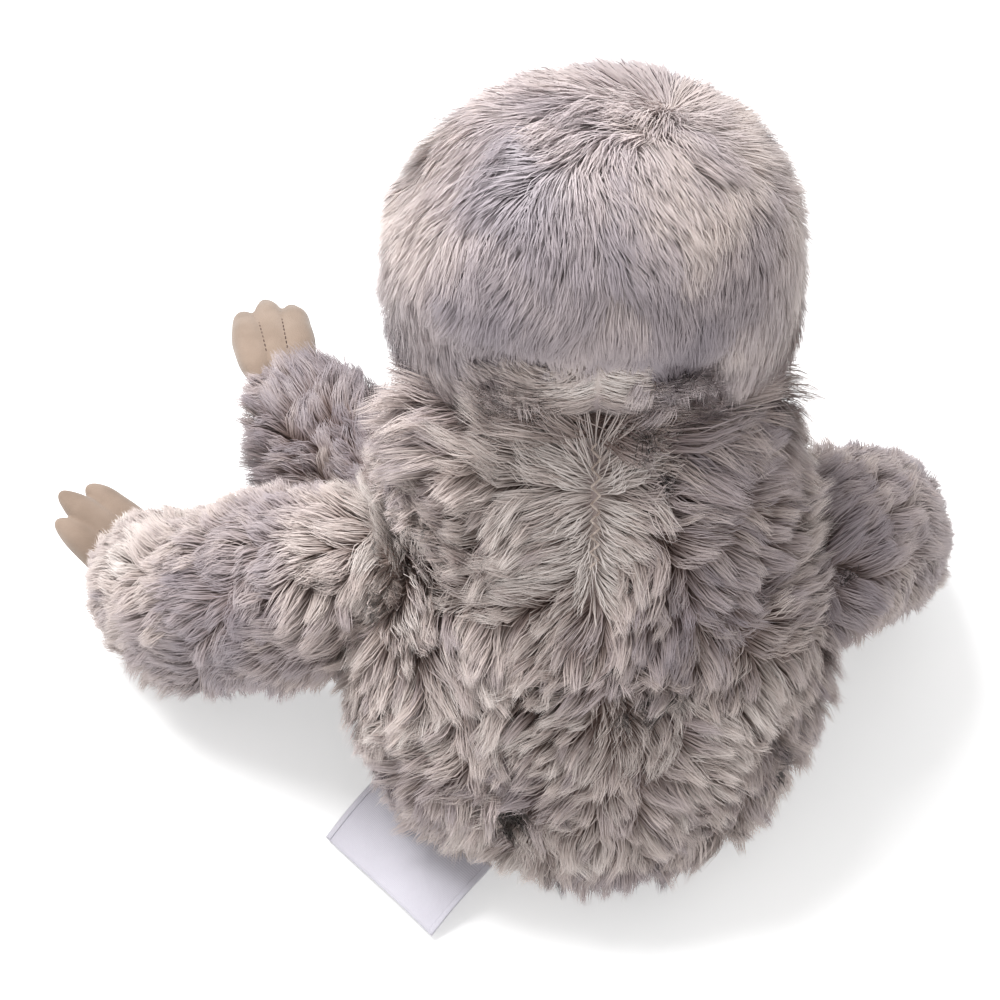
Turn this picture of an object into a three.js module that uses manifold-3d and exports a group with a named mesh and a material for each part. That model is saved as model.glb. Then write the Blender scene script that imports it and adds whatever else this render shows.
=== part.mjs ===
import * as THREE from 'three';
import { mergeVertices } from 'three/addons/utils/BufferGeometryUtils.js';
import Module from 'manifold-3d';

// A long-haired plush sloth that sits on its seat and faces -Y, in millimetres.
// The origin is the middle of the flat seat, +Z is up and +X is the toy's left side.
// Skins are solid panels as thick as the fur fabric with its pile, sewn round a stuffed core.

const wasm = await Module();
wasm.setup();

// Body: a pear on a flattened seat that leans forward as it rises
const bodyWidth = 133;
const bodyDepth = 110;
const bodyHeight = 165;
const bodyLean = 26;
const bodyWidthShares = [0.8, 0.93, 1, 0.95, 0.87, 0.86, 0.86];
const bodyDepthShares = [0.8, 0.93, 1, 0.93, 0.82, 0.76, 0.72];
const bodyLeanShares = [0.6, 0.4];
const baseSeamHeight = 15;
const sideSeamForward = 4;
const pelletBagTop = 46;

// Head: wider than tall, with full cheeks
const headWidth = 104;
const headDepth = 84;
const headHeight = 93;
const headForward = 32;
const headSink = 28;
const headWidthShares = [1.02, 1.04, 1.03, 1, 0.91, 0.8];
const headDepthShares = [0.76, 0.9, 1, 1, 0.96, 0.88];
const headSeamBehind = 6;

// Fur fabric and its fillings
const pileThickness = 10;
const facePileDrop = 4;
const seamGap = 0.3;
const swingGap = 0.7;
const restCut = 0.5;
const cutterSize = 700;

// Neck: a ball of filling in the opening between body and head
const neckBallRadius = 15;
const neckBallDrop = 6;
const neckGap = 0.8;
const nodBackAngle = 12;
const nodForwardAngle = 18;
const headTurnAngle = 25;
const headSweepSteps = 2;

// Face
const faceWidth = 70;
const faceHeight = 56;
const faceDrop = 1.5;
const eyeRadius = 4.6;
const eyeHeight = 3.6;
const eyeSpacing = 34;
const eyeRise = 5;
const patchLength = 27;
const patchBreadth = 15;
const patchThickness = 1.6;
const patchSlantAngle = 28;
const patchOutward = 3;
const patchLowering = 1.5;
const noseRadius = 5;
const noseWidthShare = 1.35;
const noseHeight = 4;
const noseDrop = 5;
const mouthWidth = 24;
const mouthDrop = 13;
const mouthRise = 4;
const mouthThreadRadius = 0.7;
const shankRadius = 1.5;
const shankTail = 3;
const washerRadius = 4.8;
const washerThickness = 1.2;
const washerSetback = 1.3;

// Limbs
const armRadius = 27;
const armRootInset = 18;
const shoulderHeight = 113;
const shoulderForward = 14;
const shoulderLiftAngle = 50;
const armShares = [1.02, 1.06, 1.05, 1, 0.98, 0.98, 0.92];
const leftArmOut = 92;
const leftArmForward = 60;
const leftArmBendShares = [0.8, 0.0, 0.5];
const rightArmOut = 47;
const rightArmForward = 74;
const rightArmBendShares = [0.97, 0.2, 0.13];
const legRadius = 25;
const hipInset = 32;
const hipHeight = 27;
const hipForward = 20;
const hipLiftAngle = 20;
const legShares = [1, 1, 1, 1, 1, 0.98, 0.92];
const legForward = 112;
const legToeRise = 9;
const leftLegOut = 63;
const leftLegBendShares = [0.4, 0.42, 0.2];
const rightLegOut = -1;
const rightLegBendShares = [0.5, 0.42, 0.2];
const limbSweepSteps = 4;

// Claws: a flat mitt of three fingers on the end of each limb
const clawLength = 39;
const clawSink = 6;
const fingerRadius = 5.6;
const fingerThicknessShare = 0.86;
const fingerShares = [0.9, 1.02, 1.04, 1, 0.9, 0.74];
const fingerSpacing = 6.1;
const outerFingerShare = 0.88;
const clawCurl = 4;
const clawFanShare = 0.05;
const leftArmClawShares = [0.85, -0.5, 0.6];
const rightArmClawShares = [0.1, -0.95, -0.2];
const leftLegClawShares = [0.2, -0.97, -0.1];
const rightLegClawShares = [0, -0.98, -0.12];

// Sewn label under the back of the seat
const labelWidth = 44;
const labelReach = 22;
const labelThickness = 0.9;
const labelBearingAngle = 43;
const labelPlaceAngle = 28;
const labelSlopeAngle = 26;
const labelRootHeight = 12;
const labelLiftAngle = 35;

// Closing stitches of the back seam
const stitchThreadRadius = 0.7;
const stitchStart = 128;
const stitchEnd = 150;
const stitchHalfWidth = 2.4;
const stitchCount = 9;

// Fineness of the faceted forms
const bodyAround = 22;
const bodyAlong = 12;
const headAround = 22;
const headAlong = 10;
const limbAround = 12;
const limbAlong = 9;
const fingerAround = 8;
const fingerAlong = 5;
const ballAround = 14;
const ballAlong = 8;
const snapAround = 12;
const snapSteps = 4;
const cutterAround = 26;
const threadArc = 3;
const mouthSpans = 6;
const mouthSteps = 10;
const stepsPerStitch = 3;
const seatPower = 5;
const crownPower = 3.1;
const chinPower = 3.5;
const roundPower = 2.4;
const limbPower = 2.8;
const sectionPower = 2.2;

const furColour = 0xa79e99;
const creamColour = 0xe6d6c0;
const darkColour = 0x4d3a33;
const fillingColour = 0xf2efe9;
const eyeColour = 0x0d0c0c;
const noseColour = 0x1c1513;
const washerColour = 0xe8e8e6;
const labelColour = 0xf4f4f2;
const clothRoughness = 0.95;
const threadRoughness = 0.6;
const plasticRoughness = 0.5;
const satinRoughness = 0.45;
const noseRoughness = 0.35;
const eyeRoughness = 0.12;

const up = new THREE.Vector3(0, 0, 1);
const left = new THREE.Vector3(1, 0, 0);
const back = new THREE.Vector3(0, 1, 0);

const group = new THREE.Group();

// A smooth value from evenly spaced shares, held at both ends
function smoothShare(shares, place) {
  const last = shares.length - 1;
  const at = Math.min(Math.max(place, 0), 1) * last;
  const i = Math.min(Math.floor(at), last - 1);
  const f = at - i;
  const before = shares[Math.max(i - 1, 0)];
  const after = shares[Math.min(i + 2, last)];
  const slopeIn = (shares[i + 1] - before) / 2;
  const slopeOut = (after - shares[i]) / 2;
  const rise = shares[i + 1] - shares[i];
  return shares[i] + f * slopeIn + f * f * (3 * rise - 2 * slopeIn - slopeOut)
    + f * f * f * (slopeIn + slopeOut - 2 * rise);
}

// How far a padded form has swollen at a place along it, 0 at its two ends
function swelling(place, startPower, endPower) {
  const power = place < 0.5 ? startPower : endPower;
  return Math.pow(1 - Math.pow(Math.abs(2 * place - 1), power), 1 / power);
}

function roundedSection(angle, squareness) {
  const c = Math.cos(angle);
  const s = Math.sin(angle);
  return [
    Math.sign(c) * Math.pow(Math.abs(c), 2 / squareness),
    Math.sign(s) * Math.pow(Math.abs(s), 2 / squareness),
  ];
}

// Where a form's ring lies, and its half sizes, at a place from 0 to 1 along the form
function ringOf(form, place, inset) {
  const short = inset / form.length;
  const along = short + (1 - 2 * short) * place;
  const swell = swelling(place, form.startPower, form.endPower);
  const ring = form.spine(along);
  ring.halfWidth = (form.halfWidth * smoothShare(form.widthShares, along) - inset) * swell;
  ring.halfDepth = (form.halfDepth * smoothShare(form.depthShares, along) - inset) * swell;
  return ring;
}

function ringPoint(ring, angle) {
  const [w, d] = roundedSection(angle, sectionPower);
  return ring.centre.clone()
    .addScaledVector(ring.across, w * ring.halfWidth)
    .addScaledVector(ring.over, d * ring.halfDepth);
}

function signedVolume(positions, indices) {
  const a = new THREE.Vector3();
  const b = new THREE.Vector3();
  const c = new THREE.Vector3();
  let sum = 0;
  for (let i = 0; i < indices.length; i += 3) {
    a.fromArray(positions, 3 * indices[i]);
    b.fromArray(positions, 3 * indices[i + 1]);
    c.fromArray(positions, 3 * indices[i + 2]);
    sum += a.dot(b.cross(c));
  }
  return sum;
}

// The closed surface of a padded form; an inset shrinks it all round, a negative one grows it
function formGeometry(form, inset = 0) {
  const points = [form.spine(inset / form.length).centre];
  for (let i = 1; i < form.along; i++) {
    const ring = ringOf(form, (1 - Math.cos(Math.PI * i / form.along)) / 2, inset);
    for (let k = 0; k < form.around; k++) {
      points.push(ringPoint(ring, 2 * Math.PI * k / form.around));
    }
  }
  points.push(form.spine(1 - inset / form.length).centre);
  const faces = [];
  const at = (i, k) => 1 + (i - 1) * form.around + k % form.around;
  for (let k = 0; k < form.around; k++) {
    faces.push(0, at(1, k + 1), at(1, k));
    faces.push(points.length - 1, at(form.along - 1, k), at(form.along - 1, k + 1));
    for (let i = 1; i < form.along - 1; i++) {
      faces.push(at(i, k), at(i, k + 1), at(i + 1, k));
      faces.push(at(i, k + 1), at(i + 1, k + 1), at(i + 1, k));
    }
  }
  const positions = points.flatMap((p) => p.toArray());
  if (signedVolume(positions, faces) < 0) faces.reverse();
  const geometry = new THREE.BufferGeometry();
  geometry.setAttribute('position', new THREE.Float32BufferAttribute(positions, 3));
  geometry.setIndex(faces);
  return geometry;
}

function solidOf(geometry) {
  const bare = geometry.clone();
  bare.deleteAttribute('normal');
  bare.deleteAttribute('uv');
  const merged = mergeVertices(bare);
  return new wasm.Manifold(new wasm.Mesh({
    numProp: 3,
    vertProperties: new Float32Array(merged.attributes.position.array),
    triVerts: new Uint32Array(merged.index.array),
  }));
}

function formSolid(form, inset = 0) {
  return solidOf(formGeometry(form, inset));
}

function addPiece(name, solid, colour, roughness = clothRoughness) {
  const cut = solid.getMesh();
  const geometry = new THREE.BufferGeometry();
  geometry.setAttribute('position', new THREE.Float32BufferAttribute(cut.vertProperties, 3));
  geometry.setIndex(Array.from(cut.triVerts));
  geometry.computeVertexNormals();
  const material = new THREE.MeshStandardMaterial({ color: colour, roughness, metalness: 0 });
  const mesh = new THREE.Mesh(geometry, material);
  mesh.name = name;
  group.add(mesh);
}

// Everything on the side of a plane that its normal points to
function halfSpace(point, normal) {
  const box = new THREE.BoxGeometry(cutterSize, cutterSize, cutterSize);
  box.translate(0, 0, cutterSize / 2);
  box.applyQuaternion(new THREE.Quaternion().setFromUnitVectors(up, normal.clone().normalize()));
  box.translate(point.x, point.y, point.z);
  return solidOf(box);
}

function sideOf(point, normal) {
  const unit = normal.clone().normalize();
  return halfSpace(point.clone().addScaledVector(unit, seamGap / 2), unit);
}

const floor = halfSpace(new THREE.Vector3(), up.clone().negate());

function turnedAbout(geometry, pivot, axis, degrees) {
  const turned = geometry.clone();
  turned.translate(-pivot.x, -pivot.y, -pivot.z);
  const angle = THREE.MathUtils.degToRad(degrees);
  turned.applyQuaternion(new THREE.Quaternion().setFromAxisAngle(axis, angle));
  turned.translate(pivot.x, pivot.y, pivot.z);
  return turned;
}

// Body form and its panels
const bodyForm = {
  length: bodyHeight + restCut,
  halfWidth: bodyWidth / 2,
  halfDepth: bodyDepth / 2,
  widthShares: bodyWidthShares,
  depthShares: bodyDepthShares,
  startPower: seatPower,
  endPower: crownPower,
  around: bodyAround,
  along: bodyAlong,
  spine: (place) => ({
    centre: new THREE.Vector3(
      0,
      -bodyLean * place * (bodyLeanShares[0] + bodyLeanShares[1] * place),
      (bodyHeight + restCut) * place - restCut,
    ),
    across: left,
    over: back,
  }),
};

const neckPivot = bodyForm.spine(1 - neckBallDrop / bodyHeight).centre;

function ball(radius) {
  const sphere = new THREE.SphereGeometry(radius, ballAround, ballAlong);
  sphere.translate(neckPivot.x, neckPivot.y, neckPivot.z);
  return solidOf(sphere);
}

const neckPocket = ball(neckBallRadius + neckGap);
const bodyShell = formSolid(bodyForm)
  .subtract(formSolid(bodyForm, pileThickness))
  .subtract(floor)
  .subtract(neckPocket);
const bodyCore = formSolid(bodyForm, pileThickness + seamGap).subtract(neckPocket);

function buildBody() {
  const baseSeam = new THREE.Vector3(0, 0, baseSeamHeight);
  const sideSeam = new THREE.Vector3(0, -sideSeamForward, 0);
  const rearward = new THREE.Vector3(0, bodyHeight, bodyLean);
  const pelletSeam = new THREE.Vector3(0, 0, pelletBagTop);
  const origin = new THREE.Vector3();
  const upper = bodyShell.intersect(sideOf(baseSeam, up));
  const groove = backStitches(stitchThreadRadius + seamGap);
  const rear = upper.intersect(sideOf(sideSeam, rearward)).subtract(groove);
  addPiece('torso_back_left', rear.intersect(sideOf(origin, left)), furColour);
  addPiece('torso_back_right', rear.intersect(sideOf(origin, left.clone().negate())), furColour);
  addPiece('torso_belly', upper.intersect(sideOf(sideSeam, rearward.clone().negate())), furColour);
  addPiece('torso_base', bodyShell.intersect(sideOf(baseSeam, up.clone().negate())), furColour);
  addPiece('torso_stuffing', bodyCore.intersect(sideOf(pelletSeam, up)), fillingColour);
  addPiece('pellet_bag', bodyCore.intersect(sideOf(pelletSeam, up.clone().negate())), creamColour);
  addPiece('back_seam_thread', backStitches(stitchThreadRadius), creamColour, threadRoughness);
}

// The body with its swing gap, swung to each place it takes up as seen from a piece that turns about it
function bodySweep(turns) {
  const grown = formGeometry(bodyForm, -swingGap);
  return turns.map((turn) => solidOf(turn(grown))).reduce((sum, next) => sum.add(next));
}

// Head form and its panels
const headBottom = bodyHeight - headSink;
const headMiddle = headBottom + headHeight / 2;
const headForm = {
  length: headHeight,
  halfWidth: headWidth / 2,
  halfDepth: headDepth / 2,
  widthShares: headWidthShares,
  depthShares: headDepthShares,
  startPower: chinPower,
  endPower: roundPower,
  around: headAround,
  along: headAlong,
  spine: (place) => ({
    centre: new THREE.Vector3(0, -headForward, headBottom + headHeight * place),
    across: left,
    over: back,
  }),
};

function headSweep() {
  const turns = [];
  for (let n = 0; n <= 2 * headSweepSteps; n++) {
    const nod = THREE.MathUtils.lerp(-nodBackAngle, nodForwardAngle, n / (2 * headSweepSteps));
    for (let k = -headSweepSteps; k <= headSweepSteps; k++) {
      const turn = headTurnAngle * k / headSweepSteps;
      turns.push((geometry) => turnedAbout(
        turnedAbout(geometry, neckPivot, left, -nod), neckPivot, up, -turn));
    }
  }
  return bodySweep(turns);
}

// A point on the front of the head, at a given inset, and the way it faces
function facePoint(x, z, inset) {
  const surface = (sx, sz) => {
    const short = inset / headHeight;
    const place = ((sz - headBottom) / headHeight - short) / (1 - 2 * short);
    const ring = ringOf(headForm, place, inset);
    const aside = Math.pow(Math.abs(sx / ring.halfWidth), sectionPower);
    const reach = Math.pow(Math.max(1 - aside, 0), 1 / sectionPower);
    return new THREE.Vector3(sx, -headForward - ring.halfDepth * reach, sz);
  };
  const point = surface(x, z);
  const alongX = surface(x + seamGap, z).sub(surface(x - seamGap, z));
  const alongZ = surface(x, z + seamGap).sub(surface(x, z - seamGap));
  return { point, normal: alongX.cross(alongZ).normalize() };
}

// Stands a piece that was made along +Y on its seat
function seatedOn(geometry, seat) {
  geometry.applyQuaternion(new THREE.Quaternion().setFromUnitVectors(back, seat.normal));
  geometry.translate(seat.point.x, seat.point.y, seat.point.z);
  return solidOf(geometry);
}

// A disc or plug whose axis leaves the face, from one height over the surface to another
function faceCylinder(seat, radius, low, high) {
  const cylinder = new THREE.CylinderGeometry(radius, radius, high - low, snapAround);
  cylinder.translate(0, (high + low) / 2, 0);
  return seatedOn(cylinder, seat);
}

// A domed piece with a shank that is pushed through the fabric and held by a washer
function snapPiece(seat, radius, height, depth, widthShare) {
  const profile = [
    new THREE.Vector2(0, -depth),
    new THREE.Vector2(shankRadius, -depth),
    new THREE.Vector2(shankRadius, seamGap),
  ];
  for (let i = 0; i <= snapSteps; i++) {
    const angle = Math.PI / 2 * i / snapSteps;
    profile.push(new THREE.Vector2(radius * Math.cos(angle), seamGap + height * Math.sin(angle)));
  }
  profile[profile.length - 1].x = 0;
  const lathe = new THREE.LatheGeometry(profile, snapAround);
  lathe.scale(widthShare, 1, 1);
  return seatedOn(lathe, seat);
}

function washer(seat, high) {
  const boreRadius = shankRadius * noseWidthShare + seamGap;
  const bore = faceCylinder(seat, boreRadius, high - 2 * washerThickness, high + washerThickness);
  return faceCylinder(seat, washerRadius, high - washerThickness, high).subtract(bore);
}

function ellipseCutter(x, z, breadth, height, slant) {
  const cutter = new THREE.CylinderGeometry(1, 1, cutterSize, cutterAround);
  cutter.scale(breadth / 2, 1, height / 2);
  cutter.rotateY(THREE.MathUtils.degToRad(slant));
  cutter.translate(x, -headForward - cutterSize / 2, z);
  return solidOf(cutter);
}

function buildHead() {
  const clearance = headSweep().add(neckPocket);
  const shell = formSolid(headForm).subtract(formSolid(headForm, pileThickness)).subtract(clearance);
  const seam = new THREE.Vector3(0, headSeamBehind - headForward, 0);
  const rear = shell.intersect(sideOf(seam, back));
  addPiece('head_back_left', rear.intersect(sideOf(seam, left)), furColour);
  addPiece('head_back_right', rear.intersect(sideOf(seam, left.clone().negate())), furColour);
  const faceMiddle = headMiddle - faceDrop;
  const opening = ellipseCutter(0, faceMiddle, faceWidth + 2 * seamGap, faceHeight + 2 * seamGap, 0);
  const front = shell.intersect(sideOf(seam, back.clone().negate()));
  addPiece('head_front', front.subtract(opening), furColour);

  let mask = formSolid(headForm, facePileDrop).subtract(formSolid(headForm, pileThickness))
    .intersect(ellipseCutter(0, faceMiddle, faceWidth, faceHeight, 0)).subtract(clearance);
  let core = formSolid(headForm, pileThickness + seamGap).subtract(clearance);
  const maskThickness = pileThickness - facePileDrop;

  for (const side of [-1, 1]) {
    const name = side > 0 ? 'left' : 'right';
    const x = side * eyeSpacing / 2;
    const z = faceMiddle + eyeRise;
    const seat = facePoint(x, z, facePileDrop - seamGap - patchThickness);
    const under = patchThickness + seamGap + maskThickness + washerSetback;
    const depth = under + washerThickness + shankTail;
    const hole = faceCylinder(seat, shankRadius + seamGap, -depth - seamGap, depth);
    const pocket = faceCylinder(seat, washerRadius + seamGap, -depth - seamGap, depth);
    const patch = formSolid(headForm, facePileDrop - seamGap - patchThickness)
      .subtract(formSolid(headForm, facePileDrop - seamGap))
      .intersect(ellipseCutter(
        x + side * patchOutward, z - patchLowering, patchLength, patchBreadth, side * patchSlantAngle));
    mask = mask.subtract(hole);
    core = core.subtract(pocket);
    addPiece(name + '_eye_patch', patch.subtract(hole), darkColour);
    addPiece(name + '_eye', snapPiece(seat, eyeRadius, eyeHeight, depth, 1), eyeColour, eyeRoughness);
    addPiece(name + '_eye_washer', washer(seat, -under), washerColour, plasticRoughness);
  }

  const noseSeat = facePoint(0, faceMiddle - noseDrop, facePileDrop);
  const noseDepth = maskThickness + washerSetback + washerThickness + shankTail;
  const noseShank = shankRadius * noseWidthShare + seamGap;
  mask = mask.subtract(faceCylinder(noseSeat, noseShank, -noseDepth - seamGap, noseDepth));
  core = core.subtract(faceCylinder(noseSeat, washerRadius + seamGap, -noseDepth - seamGap, noseDepth));
  const nose = snapPiece(noseSeat, noseRadius, noseHeight, noseDepth, noseWidthShare);
  const noseWasher = washer(noseSeat, -(maskThickness + washerSetback));
  addPiece('nose', nose, noseColour, noseRoughness);
  addPiece('nose_washer', noseWasher, washerColour, plasticRoughness);
  const mouth = mouthPath(faceMiddle);
  const mouthGroove = threadAlong(mouth, mouthThreadRadius + seamGap, mouthSteps);
  addPiece('mouth_stitch', threadAlong(mouth, mouthThreadRadius, mouthSteps), darkColour);
  addPiece('face_mask', mask.subtract(mouthGroove), creamColour);
  addPiece('head_stuffing', core, fillingColour);
  addPiece('neck_stuffing', ball(neckBallRadius), fillingColour);
}

function threadAlong(points, radius, steps) {
  const section = new THREE.Shape().absarc(0, 0, radius, 0, 2 * Math.PI);
  return solidOf(new THREE.ExtrudeGeometry(section, {
    curveSegments: threadArc,
    steps,
    extrudePath: new THREE.CatmullRomCurve3(points),
  }));
}

// The mouth follows the surface of the short pile and curls up at both ends
function mouthPath(faceMiddle) {
  const points = [];
  for (let i = 0; i <= mouthSpans; i++) {
    const share = 2 * i / mouthSpans - 1;
    const z = faceMiddle - mouthDrop + mouthRise * share * share;
    points.push(facePoint(share * mouthWidth / 2, z, facePileDrop).point);
  }
  return points;
}

// The closing stitches cross the middle back seam to and fro below the neck
function backStitches(radius) {
  const points = [];
  for (let i = 0; i <= stitchCount; i++) {
    const height = THREE.MathUtils.lerp(stitchStart, stitchEnd, i / stitchCount);
    const ring = ringOf(bodyForm, (height + restCut) / bodyForm.length, 0);
    const y = ring.centre.y + ring.halfDepth;
    points.push(new THREE.Vector3((i % 2 === 0 ? -1 : 1) * stitchHalfWidth, y, height));
  }
  return threadAlong(points, radius, stepsPerStitch * stitchCount);
}

// Limbs: each bends in one plane, so two mirrored panels meet in the plane of its bend
function limbForm(root, tip, bend, radius, shares) {
  const curve = new THREE.QuadraticBezierCurve3(root, bend, tip);
  const normal = bend.clone().sub(root).cross(tip.clone().sub(root)).normalize();
  const form = {
    length: curve.getLength(),
    halfWidth: radius,
    halfDepth: radius,
    widthShares: shares,
    depthShares: shares,
    startPower: limbPower,
    endPower: limbPower,
    around: limbAround,
    along: limbAlong,
    lift: 0,
    normal,
    spine: (place) => {
      const inside = Math.min(Math.max(place, 0), 1);
      const tangent = curve.getTangent(inside);
      const centre = curve.getPoint(inside).addScaledVector(tangent, (place - inside) * form.length);
      centre.z += form.lift;
      return { centre, across: normal, over: normal.clone().cross(tangent).normalize() };
    },
  };
  const box = new THREE.Box3().setFromBufferAttribute(formGeometry(form).attributes.position);
  form.lift = -restCut - box.min.z;
  return form;
}

function bendPoint(root, tip, shares) {
  return new THREE.Vector3(
    THREE.MathUtils.lerp(root.x, tip.x, shares[0]),
    THREE.MathUtils.lerp(root.y, tip.y, shares[1]),
    THREE.MathUtils.lerp(root.z, tip.z, shares[2]),
  );
}

function limbSweep(pivot, lift) {
  const turns = [];
  for (let i = 0; i <= limbSweepSteps; i++) {
    turns.push((geometry) => turnedAbout(geometry, pivot, left, lift * i / limbSweepSteps));
  }
  return bodySweep(turns);
}

function clawFinger(start, direction, over, length) {
  const middle = start.clone().addScaledVector(direction, length / 2).addScaledVector(over, clawCurl);
  const tip = start.clone().addScaledVector(direction, length);
  const curve = new THREE.QuadraticBezierCurve3(start, middle, tip);
  const across = new THREE.Vector3().crossVectors(direction, over).normalize();
  return solidOf(formGeometry({
    length,
    halfWidth: fingerRadius,
    halfDepth: fingerRadius * fingerThicknessShare,
    widthShares: fingerShares,
    depthShares: fingerShares,
    startPower: roundPower,
    endPower: roundPower,
    around: fingerAround,
    along: fingerAlong,
    spine: (place) => ({
      centre: curve.getPoint(place),
      across,
      over: across.clone().cross(curve.getTangent(place)).normalize(),
    }),
  }));
}

function clawMitt(form, clawShares) {
  const direction = new THREE.Vector3(...clawShares).normalize();
  const across = new THREE.Vector3().crossVectors(direction, up).normalize();
  const over = new THREE.Vector3().crossVectors(across, direction);
  const base = form.spine(1).centre.addScaledVector(direction, -clawSink);
  let mitt = null;
  for (const step of [-1, 0, 1]) {
    const start = base.clone().addScaledVector(across, step * fingerSpacing);
    const fan = direction.clone().addScaledVector(across, step * clawFanShare).normalize();
    const length = clawLength * (step === 0 ? 1 : outerFingerShare);
    const finger = clawFinger(start, fan, over, length);
    mitt = mitt ? mitt.add(finger) : finger;
  }
  return mitt.subtract(formSolid(form, -seamGap)).subtract(floor);
}

function buildLimb(name, form, sweep, clawShares) {
  const cutAway = sweep.add(floor);
  const shell = formSolid(form).subtract(formSolid(form, pileThickness)).subtract(cutAway);
  const seam = form.spine(0).centre;
  addPiece(name + '_outer_panel', shell.intersect(sideOf(seam, form.normal)), furColour);
  addPiece(name + '_inner_panel', shell.intersect(sideOf(seam, form.normal.clone().negate())), furColour);
  addPiece(name + '_stuffing', formSolid(form, pileThickness + seamGap).subtract(sweep), fillingColour);
  addPiece(name + '_claws', clawMitt(form, clawShares), creamColour);
}

function buildArms() {
  const pivot = new THREE.Vector3(0, -shoulderForward, shoulderHeight);
  const sweep = limbSweep(pivot, shoulderLiftAngle);
  const ring = ringOf(bodyForm, shoulderHeight / bodyHeight, 0);
  const rootX = ring.halfWidth - armRootInset;
  const arms = [
    ['left_arm', 1, leftArmOut, leftArmForward, leftArmBendShares, leftArmClawShares],
    ['right_arm', -1, rightArmOut, rightArmForward, rightArmBendShares, rightArmClawShares],
  ];
  for (const [name, side, out, forward, bendShares, clawShares] of arms) {
    const root = new THREE.Vector3(side * rootX, -shoulderForward, shoulderHeight);
    const tip = new THREE.Vector3(side * (rootX + out), -shoulderForward - forward, armRadius);
    const form = limbForm(root, tip, bendPoint(root, tip, bendShares), armRadius, armShares);
    buildLimb(name, form, sweep, clawShares);
  }
}

function buildLegs() {
  const pivot = new THREE.Vector3(0, -hipForward, hipHeight);
  const sweep = limbSweep(pivot, hipLiftAngle);
  const rootX = ringOf(bodyForm, hipHeight / bodyHeight, 0).halfWidth - hipInset;
  const legs = [
    ['left_leg', 1, leftLegOut, leftLegBendShares, leftLegClawShares],
    ['right_leg', -1, rightLegOut, rightLegBendShares, rightLegClawShares],
  ];
  for (const [name, side, out, bendShares, clawShares] of legs) {
    const root = new THREE.Vector3(side * rootX, -hipForward, hipHeight);
    const toeX = side * (rootX + out);
    const tip = new THREE.Vector3(toeX, -hipForward - legForward, hipHeight + legToeRise);
    const form = limbForm(root, tip, bendPoint(root, tip, bendShares), legRadius, legShares);
    buildLimb(name, form, sweep, clawShares);
  }
}

// The label slopes down and outward from the base seam to just over the floor
function buildLabel() {
  const bearing = THREE.MathUtils.degToRad(labelBearingAngle);
  const outward = new THREE.Vector3(Math.cos(bearing), Math.sin(bearing), 0);
  const place = THREE.MathUtils.degToRad(labelPlaceAngle);
  const ring = ringOf(bodyForm, (labelRootHeight + restCut) / bodyForm.length, 0);
  const reach = 1 / Math.hypot(Math.cos(place) / ring.halfWidth, Math.sin(place) / ring.halfDepth);
  const pivot = ring.centre.clone();
  pivot.x += reach * Math.cos(place);
  pivot.y += reach * Math.sin(place);
  const axis = new THREE.Vector3().crossVectors(outward, up);
  const sheet = new THREE.BoxGeometry(2 * labelReach, labelWidth, labelThickness);
  sheet.rotateY(THREE.MathUtils.degToRad(labelSlopeAngle));
  sheet.rotateZ(bearing);
  sheet.translate(pivot.x, pivot.y, pivot.z);
  const turns = [];
  for (let i = 0; i <= limbSweepSteps; i++) {
    turns.push((geometry) => turnedAbout(geometry, pivot, axis, -labelLiftAngle * i / limbSweepSteps));
  }
  const inner = sideOf(pivot, outward);
  const label = solidOf(sheet).intersect(inner).subtract(bodySweep(turns)).subtract(floor);
  addPiece('sewn_label', label, labelColour, satinRoughness);
}

buildBody();
buildHead();
buildArms();
buildLegs();
buildLabel();

export default group;
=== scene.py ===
import math
from dataclasses import dataclass
from typing import Any

import bmesh
import bpy
import numpy as np
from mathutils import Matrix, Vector, kdtree


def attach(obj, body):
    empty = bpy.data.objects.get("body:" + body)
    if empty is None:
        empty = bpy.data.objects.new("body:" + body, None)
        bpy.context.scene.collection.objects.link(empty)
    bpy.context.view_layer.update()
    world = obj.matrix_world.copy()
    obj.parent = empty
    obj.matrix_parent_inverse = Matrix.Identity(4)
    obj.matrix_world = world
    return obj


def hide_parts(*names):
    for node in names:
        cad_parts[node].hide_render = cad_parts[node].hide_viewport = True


# A long-haired plush sloth that sits on its seat and faces -Y, in metres.
# Its pile is fine tapered strands, gathered in locks and tufts that follow a combed direction.

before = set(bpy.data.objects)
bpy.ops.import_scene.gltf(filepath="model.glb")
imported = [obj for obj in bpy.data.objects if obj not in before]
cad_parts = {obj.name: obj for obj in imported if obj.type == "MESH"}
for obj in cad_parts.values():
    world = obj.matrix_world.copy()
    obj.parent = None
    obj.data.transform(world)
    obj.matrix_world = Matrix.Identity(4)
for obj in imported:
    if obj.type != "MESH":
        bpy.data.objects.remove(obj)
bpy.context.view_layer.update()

# Body and head: the same forms as the solids
BODY_WIDTH = 0.133
BODY_DEPTH = 0.110
BODY_HEIGHT = 0.165
BODY_LEAN = 0.026
BODY_WIDTH_SHARES = [0.8, 0.93, 1, 0.95, 0.87, 0.86, 0.86]
BODY_DEPTH_SHARES = [0.8, 0.93, 1, 0.93, 0.82, 0.76, 0.72]
BODY_LEAN_SHARES = [0.6, 0.4]
BASE_SEAM_HEIGHT = 0.015
SIDE_SEAM_FORWARD = 0.004
REST_CUT = 0.0005
HEAD_WIDTH = 0.104
HEAD_DEPTH = 0.084
HEAD_HEIGHT = 0.093
HEAD_FORWARD = 0.032
HEAD_SINK = 0.028
HEAD_WIDTH_SHARES = [1.02, 1.04, 1.03, 1, 0.91, 0.8]
HEAD_DEPTH_SHARES = [0.76, 0.9, 1, 1, 0.96, 0.88]
HEAD_SEAM_BEHIND = 0.006
HEAD_BOTTOM = BODY_HEIGHT - HEAD_SINK
SEAT_POWER = 5
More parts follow.
